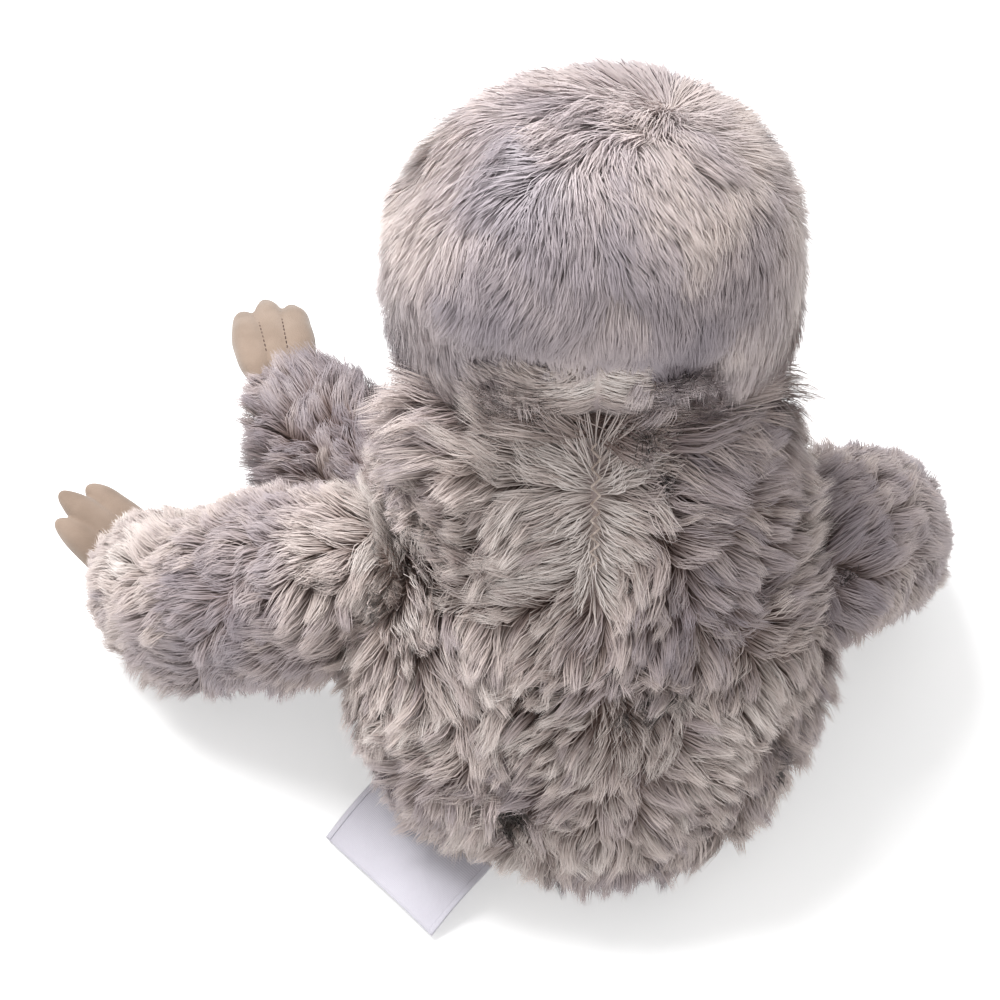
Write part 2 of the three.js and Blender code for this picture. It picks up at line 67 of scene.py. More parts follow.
CROWN_POWER = 3.1
CHIN_POWER = 3.5
ROUND_POWER = 2.4
LIMB_POWER = 2.8
SECTION_POWER = 2.2

# Limbs and claws
ARM_RADIUS = 0.027
ARM_ROOT_INSET = 0.018
SHOULDER_HEIGHT = 0.113
SHOULDER_FORWARD = 0.014
ARM_SHARES = [1.02, 1.06, 1.05, 1, 0.98, 0.98, 0.92]
LEFT_ARM_OUT = 0.092
LEFT_ARM_FORWARD = 0.060
LEFT_ARM_BEND_SHARES = [0.8, 0.0, 0.5]
RIGHT_ARM_OUT = 0.047
RIGHT_ARM_FORWARD = 0.074
RIGHT_ARM_BEND_SHARES = [0.97, 0.2, 0.13]
LEG_RADIUS = 0.025
HIP_INSET = 0.032
HIP_HEIGHT = 0.027
HIP_FORWARD = 0.020
LEG_SHARES = [1, 1, 1, 1, 1, 0.98, 0.92]
LEG_FORWARD = 0.112
LEG_TOE_RISE = 0.009
LEFT_LEG_OUT = 0.063
LEFT_LEG_BEND_SHARES = [0.4, 0.42, 0.2]
RIGHT_LEG_OUT = -0.001
RIGHT_LEG_BEND_SHARES = [0.5, 0.42, 0.2]
LIMB_AROUND = 12
LIMB_ALONG = 9
CLAW_LENGTH = 0.039
CLAW_SINK = 0.006
FINGER_RADIUS = 0.0056
FINGER_THICKNESS_SHARE = 0.86
FINGER_SHARES = [0.9, 1.02, 1.04, 1, 0.9, 0.74]
FINGER_SPACING = 0.0061
OUTER_FINGER_SHARE = 0.88
CLAW_CURL = 0.004
CLAW_FAN_SHARE = 0.05
CLAW_SHARES = {
    "left_arm": [0.85, -0.5, 0.6],
    "right_arm": [0.1, -0.95, -0.2],
    "left_leg": [0.2, -0.97, -0.1],
    "right_leg": [0, -0.98, -0.12],
}
CLAW_VOXEL = 0.0006
CLAW_SMOOTHING = 5

# Face
FACE_WIDTH = 0.070
FACE_HEIGHT = 0.056
FACE_DROP = 0.0015
FACE_PILE_DROP = 0.004
PILE_THICKNESS = 0.010
SEAM_GAP = 0.0003
EYE_RADIUS = 0.0046
EYE_HEIGHT = 0.0036
EYE_SPACING = 0.034
EYE_RISE = 0.005
PATCH_LENGTH = 0.027
PATCH_BREADTH = 0.015
PATCH_THICKNESS = 0.0016
PATCH_SLANT_ANGLE = 28
PATCH_OUTWARD = 0.003
PATCH_LOWERING = 0.0015
NOSE_RADIUS = 0.005
NOSE_WIDTH_SHARE = 1.35
NOSE_HEIGHT = 0.004
NOSE_DROP = 0.005
MOUTH_WIDTH = 0.024
MOUTH_DROP = 0.013
MOUTH_RISE = 0.004
MOUTH_THREAD_RADIUS = 0.0007
SHANK_RADIUS = 0.0015
SHANK_TAIL = 0.003
WASHER_RADIUS = 0.0048
WASHER_THICKNESS = 0.0012
WASHER_SETBACK = 0.0013
FACE_MIDDLE = HEAD_BOTTOM + HEAD_HEIGHT / 2 - FACE_DROP

# Label and closing seam
LABEL_WIDTH = 0.044
LABEL_REACH = 0.022
LABEL_BEARING_ANGLE = 43
LABEL_PLACE_ANGLE = 28
LABEL_SLOPE_ANGLE = 26
LABEL_ROOT_HEIGHT = 0.012
LABEL_TUCK = 0.003
LABEL_THICKNESS = 0.0004
LABEL_HEM = 0.0016
LABEL_RIPPLE = 0.0007
STITCH_RADIUS = 0.00032
STITCH_START = 0.122
STITCH_END = 0.152
STITCH_HALF_WIDTH = 0.0011
STITCH_COUNT = 15
STITCH_SINK = 0.0070

# Pile
SKIN_INSET = 0.0080
HEAD_INSET = 0.0066
FLOOR_GAP = 0.0003
STRAND_DENSITY = 3.1e6
LEVELS = np.array([0, 0.36, 0.7, 1.0])
WIDTH_LEVELS = np.array([[0.9, 1.0, 0.85, 0]])
TONE_HALF_STEP = 0.005
STRAND_STEPS = 12
PULL_POWER = 1.3
FAN_RISE = 2.2
WIDE_SWAY = 0.8
NEAR_SWAY = 0.5
LEAN_SPREAD = 7
LARGEST_LEAN = 92
LENGTH_SPREAD = 0.09
WAY_SPREAD = 0.22
GRIP_RANGE = (0.7, 1.0)
COMBED_LOSS = 0.7
WIDTH_RANGE = (0.7, 1.3)
NEAR_TONE = 0.10
TUFT_TONE = 0.06
TRIM_TONE = 0.5
PARTING_WIDTH = 0.22
TONE_RANGE = (0.02, 0.98)
FAN_STEP = 9
PILE_FILL = 0.75
SKIN_TONE = 0.5
SKIN_TONE_SPREAD = 0.3
# Where the skin sits from root to tip on the pile's map: near the root, so it shows painted shade
SKIN_SHOWN = 0.15
SKIN_SHOWN_SPAN = 0.65

# Fineness of the forms and of what is worked out from them
TINY = 1e-12
NORMAL_STEP = 1e-3
POLE_GAP = 1e-4
SPINE_SAMPLES = 201
FLOW_SAMPLES = 40
DEPTH_RINGS = 60
DEPTH_MARGIN = 0.01
WAVE_SPREAD = (0.6, 1.5)
WAVE_PEAK = 1.6
ROOT_ROWS = 90
ROOT_COLUMNS = 110
JOIN_DISTANCE = 1e-6
LEAST_EDGE = 1e-7
TUBE_SIDE = np.array([0.31, 0.9, 0.27])
TUBE_END_SHARE = 0.05


# Forms
def smooth_share(shares, place):
    """A smooth value from evenly spaced shares, held at both ends."""
    shares = np.asarray(shares, float)
    last = len(shares) - 1
    at = np.clip(place, 0, 1) * last
    i = np.minimum(np.floor(at).astype(int), last - 1)
    f = at - i
    before = shares[np.maximum(i - 1, 0)]
    after = shares[np.minimum(i + 2, last)]
    slope_in = (shares[i + 1] - before) / 2
    slope_out = (after - shares[i]) / 2
    climb = shares[i + 1] - shares[i]
    return (shares[i] + f * slope_in + f * f * (3 * climb - 2 * slope_in - slope_out)
            + f * f * f * (slope_in + slope_out - 2 * climb))


def unit(v):
    return v / np.maximum(np.linalg.norm(v, axis=-1, keepdims=True), TINY)


def rise(value, start, span):
    """Climbs from 0 at the start to 1 a span further on."""
    return np.clip((value - start) / span, 0, 1)


def bell(distance, width):
    """1 at no distance, falling away smoothly over the width."""
    return np.exp(-(distance / width) ** 2)


@dataclass
class Form:
    """A padded form: rounded rings along a spine, swelling from nothing at both ends."""
    length: float
    half_width: float
    half_depth: float
    width_shares: list
    depth_shares: list
    start_power: float
    end_power: float
    spine: Any

    def ring(self, place, inset):
        short = inset / self.length
        along = short + (1 - 2 * short) * place
        power = np.where(place < 0.5, self.start_power, self.end_power)
        swell = np.maximum(1 - np.abs(2 * place - 1) ** power, 0) ** (1 / power)
        centre, across, over = self.spine(along)
        wide = (self.half_width * smooth_share(self.width_shares, along) - inset) * swell
        deep = (self.half_depth * smooth_share(self.depth_shares, along) - inset) * swell
        return centre, across, over, wide, deep

    def surface(self, place, angle, inset):
        centre, across, over, wide, deep = self.ring(place, inset)
        c, s = np.cos(angle), np.sin(angle)
        w = np.sign(c) * np.abs(c) ** (2 / SECTION_POWER) * wide
        d = np.sign(s) * np.abs(s) ** (2 / SECTION_POWER) * deep
        return centre + across * w[..., None] + over * d[..., None]

    def normal(self, place, angle, inset):
        step = NORMAL_STEP
        low = np.clip(place - step, POLE_GAP, 1)
        high = np.clip(place + step, 0, 1 - POLE_GAP)
        along = self.surface(high, angle, inset) - self.surface(low, angle, inset)
        around = (self.surface(place, angle + step, inset)
                  - self.surface(place, angle - step, inset))
        n = unit(np.cross(around, along))
        away = self.surface(place, angle, inset) - self.ring(place, inset)[0]
        return n * np.where((n * away).sum(-1, keepdims=True) < 0, -1, 1)


def body_spine(place):
    lean = -BODY_LEAN * place * (BODY_LEAN_SHARES[0] + BODY_LEAN_SHARES[1] * place)
    centre = np.stack([0 * place, lean, (BODY_HEIGHT + REST_CUT) * place - REST_CUT], -1)
    return centre, np.array([1.0, 0, 0]), np.array([0, 1.0, 0])


def head_spine(place):
    centre = np.stack([0 * place, 0 * place - HEAD_FORWARD, HEAD_BOTTOM + HEAD_HEIGHT * place], -1)
    return centre, np.array([1.0, 0, 0]), np.array([0, 1.0, 0])


def bezier_point(start, bend, tip, t):
    return (1 - t) ** 2 * start + 2 * t * (1 - t) * bend + t * t * tip


def bezier_tangent(start, bend, tip, t):
    return unit(2 * (1 - t) * (bend - start) + 2 * t * (tip - bend))


def limb_form(root, tip, bend, radius, shares):
    root, tip, bend = np.array(root), np.array(tip), np.array(bend)
    plane = unit(np.cross(bend - root, tip - root))
    form = Form(0, radius, radius, shares, shares, LIMB_POWER, LIMB_POWER, None)
    form.plane = plane
    form.lift = 0.0

    def spine(place):
        t = np.clip(place, 0, 1)[..., None]
        tangent = bezier_tangent(root, bend, tip, t)
        centre = bezier_point(root, bend, tip, t)
        centre = centre + tangent * (place[..., None] - t) * form.length
        centre = centre + np.array([0, 0, form.lift])
        return centre, plane, unit(np.cross(plane, tangent))

    form.spine = spine
    fine = spine(np.linspace(0, 1, SPINE_SAMPLES))[0]
    form.length = np.linalg.norm(np.diff(fine, axis=0), axis=1).sum()
    places = (1 - np.cos(np.pi * np.arange(1, LIMB_ALONG) / LIMB_ALONG)) / 2
    angles = 2 * np.pi * np.arange(LIMB_AROUND) / LIMB_AROUND
    place, angle = np.meshgrid(places, angles)
    form.lift = -REST_CUT - form.surface(place, angle, 0)[..., 2].min()
    return form


def mixed(a, b, shares):
    return [a[k] + (b[k] - a[k]) * shares[k] for k in range(3)]


body = Form(BODY_HEIGHT + REST_CUT, BODY_WIDTH / 2, BODY_DEPTH / 2, BODY_WIDTH_SHARES,
            BODY_DEPTH_SHARES, SEAT_POWER, CROWN_POWER, body_spine)
head = Form(HEAD_HEIGHT, HEAD_WIDTH / 2, HEAD_DEPTH / 2, HEAD_WIDTH_SHARES,
            HEAD_DEPTH_SHARES, CHIN_POWER, ROUND_POWER, head_spine)


def arm_form(side, out, forward, bend_shares):
    wide = body.ring(np.array(SHOULDER_HEIGHT / BODY_HEIGHT), 0)[3]
    root_x = float(wide) - ARM_ROOT_INSET
    root = [side * root_x, -SHOULDER_FORWARD, SHOULDER_HEIGHT]
    tip = [side * (root_x + out), -SHOULDER_FORWARD - forward, ARM_RADIUS]
    return limb_form(root, tip, mixed(root, tip, bend_shares), ARM_RADIUS, ARM_SHARES)


def leg_form(side, out, bend_shares):
    root_x = float(body.ring(np.array(HIP_HEIGHT / BODY_HEIGHT), 0)[3]) - HIP_INSET
    root = [side * root_x, -HIP_FORWARD, HIP_HEIGHT]
    tip = [side * (root_x + out), -HIP_FORWARD - LEG_FORWARD, HIP_HEIGHT + LEG_TOE_RISE]
    return limb_form(root, tip, mixed(root, tip, bend_shares), LEG_RADIUS, LEG_SHARES)


limbs = {
    "left_arm": arm_form(1, LEFT_ARM_OUT, LEFT_ARM_FORWARD, LEFT_ARM_BEND_SHARES),
    "right_arm": arm_form(-1, RIGHT_ARM_OUT, RIGHT_ARM_FORWARD, RIGHT_ARM_BEND_SHARES),
    "left_leg": leg_form(1, LEFT_LEG_OUT, LEFT_LEG_BEND_SHARES),
    "right_leg": leg_form(-1, RIGHT_LEG_OUT, RIGHT_LEG_BEND_SHARES),
}


def face_surface(x, z, inset):
    """Points on the front of the head, at a given inset."""
    short = inset / HEAD_HEIGHT
    place = ((z - HEAD_BOTTOM) / HEAD_HEIGHT - short) / (1 - 2 * short)
    wide, deep = head.ring(place, inset)[3:]
    aside = np.abs(x / wide) ** SECTION_POWER
    reach = np.maximum(1 - aside, 0) ** (1 / SECTION_POWER)
    return np.stack([x + 0 * z, -HEAD_FORWARD - deep * reach, z + 0 * x], -1)


def face_seat(x, z, inset):
    """A point on the front of the head and the way it faces."""
    x, z = np.array(float(x)), np.array(float(z))
    along_x = face_surface(x + SEAM_GAP, z, inset) - face_surface(x - SEAM_GAP, z, inset)
    along_z = face_surface(x, z + SEAM_GAP, inset) - face_surface(x, z - SEAM_GAP, inset)
    return face_surface(x, z, inset), unit(np.cross(along_x, along_z))


def depth_in(form, points, inset):
    """About how deep each point lies inside a form, negative outside."""
    places = np.linspace(DEPTH_MARGIN, 1 - DEPTH_MARGIN, DEPTH_RINGS)
    centre, across, over, wide, deep = form.ring(places, inset)
    across = np.broadcast_to(across, centre.shape)
    over = np.broadcast_to(over, centre.shape)
    along = np.cross(across, over)
    best = np.full(len(points), -1.0)
    for k in range(len(places)):
        away = points - centre[k]
        near = np.abs(away @ along[k]) < form.length / DEPTH_RINGS
        w, d = away @ across[k] / wide[k], away @ over[k] / deep[k]
        share = (np.abs(w) ** SECTION_POWER + np.abs(d) ** SECTION_POWER) ** (1 / SECTION_POWER)
        inside = (1 - share) * min(wide[k], deep[k])
        best = np.where(near, np.maximum(best, inside), best)
    return best


def wave_field(seed, scale, count=9):
    """A smooth random field over space, about -1 to 1, whose features are about scale wide."""
    rng = np.random.default_rng(seed)
    ways = unit(rng.normal(size=(count, 3))) * rng.uniform(*WAVE_SPREAD, (count, 1))
    ways *= np.pi / scale
    starts = rng.uniform(0, 2 * np.pi, count)
    return lambda p: np.sin(p @ ways.T + starts).sum(-1) * math.sqrt(2 / count) / WAVE_PEAK


def sample_roots(form, density, inset, seed):
    """Evenly scattered roots on a form: places and angles."""
    rng = np.random.default_rng(seed)
    t = np.linspace(0, 1, ROOT_ROWS + 1)
    edge = (1 - np.cos(np.pi * t)) / 2
    turn = np.linspace(0, 2 * np.pi, ROOT_COLUMNS + 1)
    place, angle = np.meshgrid(edge, turn, indexing="ij")
    p = form.surface(place, angle, inset)
    side = np.linalg.norm(np.cross(p[1:, :-1] - p[:-1, :-1], p[:-1, 1:] - p[:-1, :-1]), axis=-1)
    other = np.linalg.norm(np.cross(p[1:, 1:] - p[:-1, 1:], p[1:, 1:] - p[1:, :-1]), axis=-1)
    wanted = (side + other) / 2 * density
    counts = np.floor(wanted + rng.uniform(0, 1, wanted.shape)).astype(int)
    row, column = np.nonzero(counts)
    many = counts[row, column]
    row, column = np.repeat(row, many), np.repeat(column, many)
    f, g = rng.uniform(0, 1, len(row)), rng.uniform(0, 1, len(row))
    at = (t[row] + f * (t[row + 1] - t[row]))
    return (1 - np.cos(np.pi * at)) / 2, turn[column] + g * (turn[1] - turn[0])


# Pile
def turned(v, axis, angle):
    c, s = np.cos(angle)[:, None], np.sin(angle)[:, None]
    return v * c + np.cross(axis, v) * s + axis * (v * axis).sum(-1, keepdims=True) * (1 - c)


def curves(root, normal, way, length, lean):
    """Points along strands that rise from their roots and lean over towards their way."""
    s = (np.arange(STRAND_STEPS) + 0.5) / STRAND_STEPS
    bend = np.radians(lean[:, :1] + (lean[:, 1:] - lean[:, :1]) * s[None, :])
    start = np.zeros((len(root), 1))
    up = np.concatenate([start, np.cumsum(np.cos(bend), 1)], 1) / STRAND_STEPS
    on = np.concatenate([start, np.cumsum(np.sin(bend), 1)], 1) / STRAND_STEPS
    at = np.round(LEVELS * STRAND_STEPS).astype(int)
    up, on = up[:, at] * length[:, None], on[:, at] * length[:, None]
    return root[:, None] + normal[:, None] * up[..., None] + way[:, None] * on[..., None]


def nearest(points, centres):
    tree = kdtree.KDTree(len(centres))
    for i, c in enumerate(centres):
        tree.insert(c, i)
    tree.balance()
    return np.array([tree.find(p)[1] for p in points])


tone_wide = wave_field(seed=11, scale=0.030)
tone_near = wave_field(seed=12, scale=0.010)
sway_wide = wave_field(seed=13, scale=0.026)
sway_near = wave_field(seed=14, scale=0.011)
lift_wide = wave_field(seed=15, scale=0.018)
nape_ragged = wave_field(seed=16, scale=0.007)

# How the pile of a form lies: lengths in metres, leans in degrees from upright, shares elsewhere
COAT = {
    "density": STRAND_DENSITY, "length": 0.0144, "lean": (26, 75), "sway": 0.5, "tone": 0.59,
    "wide_tone": 0.26, "lock": 0.0034, "tuft": 0.015, "width": 0.00027, "inset": SKIN_INSET,
    "tuft_pull": 0.38, "lock_pull": 0.86, "tuft_loose": 2.5, "lock_loose": 2.4, "fan": 0.030,
    "fan_strength": 0.9, "lift": 14, "parting_shade": 0.1, "tilt": 0.3, "strand_tone": 0.07,
    "lock_tone": 0.14, "root_show": 0.0, "softness": 0.2, "fray": 0.0004,
}


def fanned(form, root, coat, seed):
    """How far, and which way, the pile leans away from the heart of the fan it belongs to."""
    hearts = form.surface(*sample_roots(form, 1 / coat["fan"] ** 2, coat["inset"], seed),
                          coat["inset"])
    away = root - hearts[nearest(root, hearts)]
    reach = np.linalg.norm(away, axis=-1, keepdims=True) / coat["fan"]
    return unit(away) * np.minimum(reach * FAN_RISE, 1) * coat["fan_strength"], reach[:, 0]


def trimmed(*zones):
    """Adds up what each zone does to the pile where it lies.

    Rows: share of the length, degrees flatter, tone, combed share and tousled share.
    """
    total = np.array([1.0, 0, 0, 0, 0])[:, None]
    for share, trim in zones:
        total = total + share * np.array(trim)[:, None]
    return total


def trim_at(p, trim):
    return trimmed((np.zeros(len(p)), [0] * 5)) if trim is None else trim(p)


def root_shown(p, coat, trim):
    """How pale the pile is at its roots, from 0 to 1: how much of the painted shade at the roots
    it skips.
    """
    return coat["root_show"] + (1 - coat["root_show"]) * trim_at(p, trim)[2]


@dataclass
class Pile:
    """Lays tufts, locks or strands of one coat on one form."""
    form: Form
    flow: Any
    seed: int
    coat: dict
    keep: Any
    trim: Any

    def laid(self, density, step):
        """Roots, their normals and combed ways, and how far each lies from its fan's heart."""
        form, coat = self.form, self.coat
        place, angle = sample_roots(form, density, coat["inset"], self.seed + step)
        root = form.surface(place, angle, coat["inset"])
        normal = form.normal(place, angle, coat["inset"])
        if self.keep is not None:
            kept = self.keep(root)
            root, normal = root[kept], normal[kept]
        fan, reach = fanned(form, root, coat, self.seed + FAN_STEP)
        free = 1 - trim_at(root, self.trim)[3]
        way = unit(self.flow(root)) + fan * free[:, None]
        way = unit(way - normal * (way * normal).sum(-1, keepdims=True))
        sway = WIDE_SWAY * sway_wide(root) + NEAR_SWAY * sway_near(root)
        return root, normal, turned(way, normal, free * coat["sway"] * sway), reach

    def curve(self, root, normal, way, loose, step):
        """Points along the middle of each tuft, lock or strand."""
        coat, n = self.coat, len(root)
        local = np.random.default_rng(self.seed + step)
        raised = lift_wide(root) * coat["lift"]
        leans = np.stack([np.full(n, coat["lean"][0]) - raised,
                          np.full(n, coat["lean"][1]) - raised / 2], -1)
        leans = leans + local.normal(0, LEAN_SPREAD * loose, (n, 1))
        lengths = coat["length"] * (1 + local.normal(0, LENGTH_SPREAD * loose, n))
        share, flatter, _, combed, _ = trim_at(root, self.trim)
        way = turned(way, normal, local.normal(0, WAY_SPREAD * loose, n) * (1 - combed))
        leans = np.clip(leans + flatter[:, None], 0, LARGEST_LEAN)
        return curves(root, normal, way, lengths * share, leans)

    def gathered(self, kind, step):
        """Roots and middle lines of the tufts or of the locks."""
        root, normal, way, _ = self.laid(1 / self.coat[kind] ** 2, step)
        return root, self.curve(root, normal, way, self.coat[kind + "_loose"], step + 1)


def pulled(points, towards, share):
    """Draws points towards others, more so the nearer they are to their tips."""
    return points + (towards - points) * (LEVELS ** PULL_POWER)[None, :, None] * share


def strand_tones(rng, root, reach, coat, owners):
    """Tone of each strand, shared in part with its tuft and its lock."""
    # Strands near a fan's heart, where the pile parts, are darkened as painted shade
    tones = (coat["tone"] + coat["wide_tone"] * tone_wide(root) + NEAR_TONE * tone_near(root)
             - coat["parting_shade"] * bell(reach, PARTING_WIDTH))
    for count, owner, spread in owners:
        tones = tones + rng.normal(0, spread, count)[owner]
    return tones + rng.normal(0, coat["strand_tone"], len(root))


def grow(form, flow, seed, coat, keep=None, trim=None):
    """Strands of one form: their roots, points, sides, widths, tones, shown roots and normals."""
    rng = np.random.default_rng(seed)
    pile = Pile(form, flow, seed, coat, keep, trim)
    tuft_root, tufts = pile.gathered("tuft", 1)
    lock_root, locks = pile.gathered("lock", 3)
    tuft_of = nearest(lock_root, tuft_root)
    locks = pulled(locks, tufts[tuft_of], coat["tuft_pull"])
    root, normal, way, reach = pile.laid(coat["density"], 5)
    lock_of = nearest(root, lock_root)
    trims = trim_at(root, trim)
    points = pile.curve(root, normal, way, 1.0, 6)
    grip = coat["lock_pull"] * rng.uniform(*GRIP_RANGE, (len(root), 1, 1))
    points = pulled(points, locks[lock_of], grip * (1 - COMBED_LOSS * trims[3])[:, None, None])
    points[:, 1:] += rng.normal(0, coat["fray"], (len(root), 3, 3)) * LEVELS[None, 1:, None]
    points[..., 2] = np.maximum(points[..., 2], FLOOR_GAP)
    tilt = rng.normal(0, coat["tilt"], len(root))
    if trim is not None:
        tilt = np.where(rng.uniform(0, 1, len(root)) < trims[4], tilt + np.pi / 2, tilt)
    way = unit(points[:, 2] - points[:, 0])
    across = turned(unit(np.cross(way, normal)), way, tilt)
    widths = coat["width"] * rng.uniform(*WIDTH_RANGE, (len(root), 1)) * WIDTH_LEVELS
    owners = ((len(tuft_root), tuft_of[lock_of], TUFT_TONE),
              (len(lock_root), lock_of, coat["lock_tone"]))
    tones = strand_tones(rng, root, reach, coat, owners) + trims[2] * TRIM_TONE
    return (root, points, across, widths, np.clip(tones, *TONE_RANGE),
            root_shown(root, coat, trim), normal)


# Combed direction of the pile
PARTING_BOTTOM = 0.104
SHARP_PARTING = 0.0012
SOFT_PARTING = 0.006
LOW_WAY, HIGH_WAY, TOP_WAY = np.array([[0.35, 0.25, -1], [1.5, 0, 0.55], [-0.9, -0.5, 2.1]])
HIGH_BAND = (0.075, 0.045)
TOP_BAND = (0.132, 0.02)
SIDE_SPREAD = 4
FRONT_START = 0.03
FRONT_SPREAD = 0.3
CREASE_HEIGHT = 0.183
CREASE_SPAN = 0.007
CREASE_BOW = 1.1
CREASE_HALF_WIDTH = 0.024
CREASE_END_SLOPE = 4
CREASE_RAGGED = 0.007
CROWN_FORWARD = 0.004
CROWN_HEIGHT = 0.232
CROWN = np.array([0, -HEAD_FORWARD - CROWN_FORWARD, CROWN_HEIGHT])
CROWN_WANDER = 0.016
NAPE = np.array([0, 0.012, 0.152])
NAPE_PARTING = 0.007
NAPE_SPREAD = 0.5
NAPE_RISE = 0.6
LIMB_DROOP = 0.2


def body_flow(p):
    """Down over the seat, out from the parting on the back, and up again under the head."""
    x, y, z = p.T
    side = np.tanh(x / np.where(z > PARTING_BOTTOM, SHARP_PARTING, SOFT_PARTING))
    way = (LOW_WAY + rise(z, *HIGH_BAND)[:, None] * HIGH_WAY
           + rise(z, *TOP_BAND)[:, None] * TOP_WAY)
    out = side * way[:, 0] * np.where(y > -FRONT_START, 1, FRONT_SPREAD)
    way[:, 0] = out + SIDE_SPREAD * x
    return way


def below_crease(p):
    """Share of the way across the crease of the nape, from the head's pile to the neck's."""
    aside = np.abs(p[:, 0])
    height = (CREASE_HEIGHT - CREASE_BOW * aside ** 2 / HEAD_WIDTH
              - CREASE_END_SLOPE * np.maximum(aside - CREASE_HALF_WIDTH, 0)
              + CREASE_RAGGED * nape_ragged(p))
    return rise(height, p[:, 2], CREASE_SPAN) * (p[:, 1] > -HEAD_FORWARD)


def head_flow(p):
    """Away from the crown on every side and in towards the nape, as if drawn between two poles.

    Under the crease the pile rises and spreads from the seam, as on the back.
    """
    wander = CROWN_WANDER * np.stack([sway_wide(p), sway_near(p), 0 * p[:, 0]], -1)
    from_crown, to_nape = p - CROWN + wander, NAPE - p
    drawn = unit(from_crown / (from_crown ** 2).sum(-1, keepdims=True)
                 + to_nape / (to_nape ** 2).sum(-1, keepdims=True))
    low, near = below_crease(p)[:, None], bell(p[:, 0], NAPE_PARTING)
    spread = np.stack([np.tanh(p[:, 0] / SHARP_PARTING) * (NAPE_SPREAD + near), 0 * near,
                       NAPE_RISE - NAPE_RISE * near], -1)
    return drawn * (1 - low) + spread * low


def limb_flow(form):
    """Along a limb to its tip, with some droop."""
    centres = form.spine(np.linspace(0, 1, FLOW_SAMPLES))[0]
    tangents = unit(np.gradient(centres, axis=0))

    def flow(p):
        near = ((p[:, None] - centres[None]) ** 2).sum(-1).argmin(1)
        return tangents[near] + np.array([0, 0, -LIMB_DROOP])
    return flow


# Meshes
def link(name, mesh, material):
    mesh.materials.append(material)
    made = bpy.data.objects.new(name, mesh)
    bpy.context.scene.collection.objects.link(made)
    return made


def make_mesh(name, verts, quads, tris, uv_quads, uv_tris, slot, normals):
    mesh = bpy.data.meshes.new(name)
    mesh.vertices.add(len(verts))
    mesh.vertices.foreach_set("co", verts.astype(np.float32).ravel())
    loops = np.concatenate([quads.ravel(), tris.ravel()])
    mesh.loops.add(len(loops))
    mesh.loops.foreach_set("vertex_index", loops.astype(np.int32))
    mesh.polygons.add(len(quads) + len(tris))
    starts = np.concatenate([4 * np.arange(len(quads)),
                             4 * len(quads) + 3 * np.arange(len(tris))])
    mesh.polygons.foreach_set("loop_start", starts.astype(np.int32))
    mesh.polygons.foreach_set("use_smooth", np.ones(len(starts), bool))
    uv = np.concatenate([uv_quads.reshape(-1, 2), uv_tris.reshape(-1, 2)])
    layer = mesh.uv_layers.new(name="OFBake")
    layer.uv.foreach_set("vector", uv.astype(np.float32).ravel())
    mesh.update(calc_edges=True)
    mesh.normals_split_custom_set_from_vertices(normals)
    return link(name, mesh, looks[slot])


def plain_mesh(name, verts, faces, slot):
    """A smooth mesh whose coincident points are joined."""
    mesh = bpy.data.meshes.new(name)
    mesh.from_pydata([tuple(v) for v in verts], [], [tuple(f) for f in faces])
    shape = bmesh.new()
    shape.from_mesh(mesh)
    bmesh.ops.remove_doubles(shape, verts=shape.verts, dist=JOIN_DISTANCE)
    bmesh.ops.dissolve_degenerate(shape, edges=shape.edges, dist=LEAST_EDGE)
    bmesh.ops.recalc_face_normals(shape, faces=shape.faces)
    shape.to_mesh(mesh)
    shape.free()
    mesh.polygons.foreach_set("use_smooth", [True] * len(mesh.polygons))
    return link(name, mesh, looks[slot])


def settle(piece):
    """Applies a piece's modifiers."""
    shaped = piece.evaluated_get(bpy.context.evaluated_depsgraph_get())
    mesh = bpy.data.meshes.new_from_object(shaped)
    piece.modifiers.clear()
    piece.data = mesh
    mesh.polygons.foreach_set("use_smooth", [True] * len(mesh.polygons))
    return piece


def remeshed(piece, voxel, smoothing):
    step = piece.modifiers.new("remesh", "REMESH")
    step.mode = "VOXEL"
    step.voxel_size = voxel
    step.use_smooth_shade = True
    step = piece.modifiers.new("smooth", "SMOOTH")
    step.iterations = smoothing
    return settle(piece)


def pushed(piece, push):
    """Moves each point along its normal by a field of its place."""
    mesh = piece.data
    spots = np.empty(3 * len(mesh.vertices))
    mesh.vertices.foreach_get("co", spots)
    normals = np.empty(3 * len(mesh.vertices))
    mesh.vertex_normals.foreach_get("vector", normals)
    spots, normals = spots.reshape(-1, 3), normals.reshape(-1, 3)
    moved = spots + normals * push(spots)[:, None]
    mesh.vertices.foreach_set("co", moved.ravel())
    mesh.update()
    return piece


def declared(piece, body_name, slot, *nodes, fill=None):
    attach(piece, body_name)
    if nodes:
        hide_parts(*nodes)
    return piece


def shading_normals(points, across, upright, softness):
    """Ribbon normals turned towards the upright of the skin they grow from."""
    flat = unit(np.cross(across[:, None], np.gradient(points, axis=1)))
    facing = np.where((flat * upright[:, None]).sum(-1, keepdims=True) < 0, -1, 1)
    mixed_in = unit(flat * facing * (1 - softness) + upright[:, None] * softness)
    return mixed_in[:, [0, 0, 1, 1, 2, 2, 3]].reshape(-1, 3)


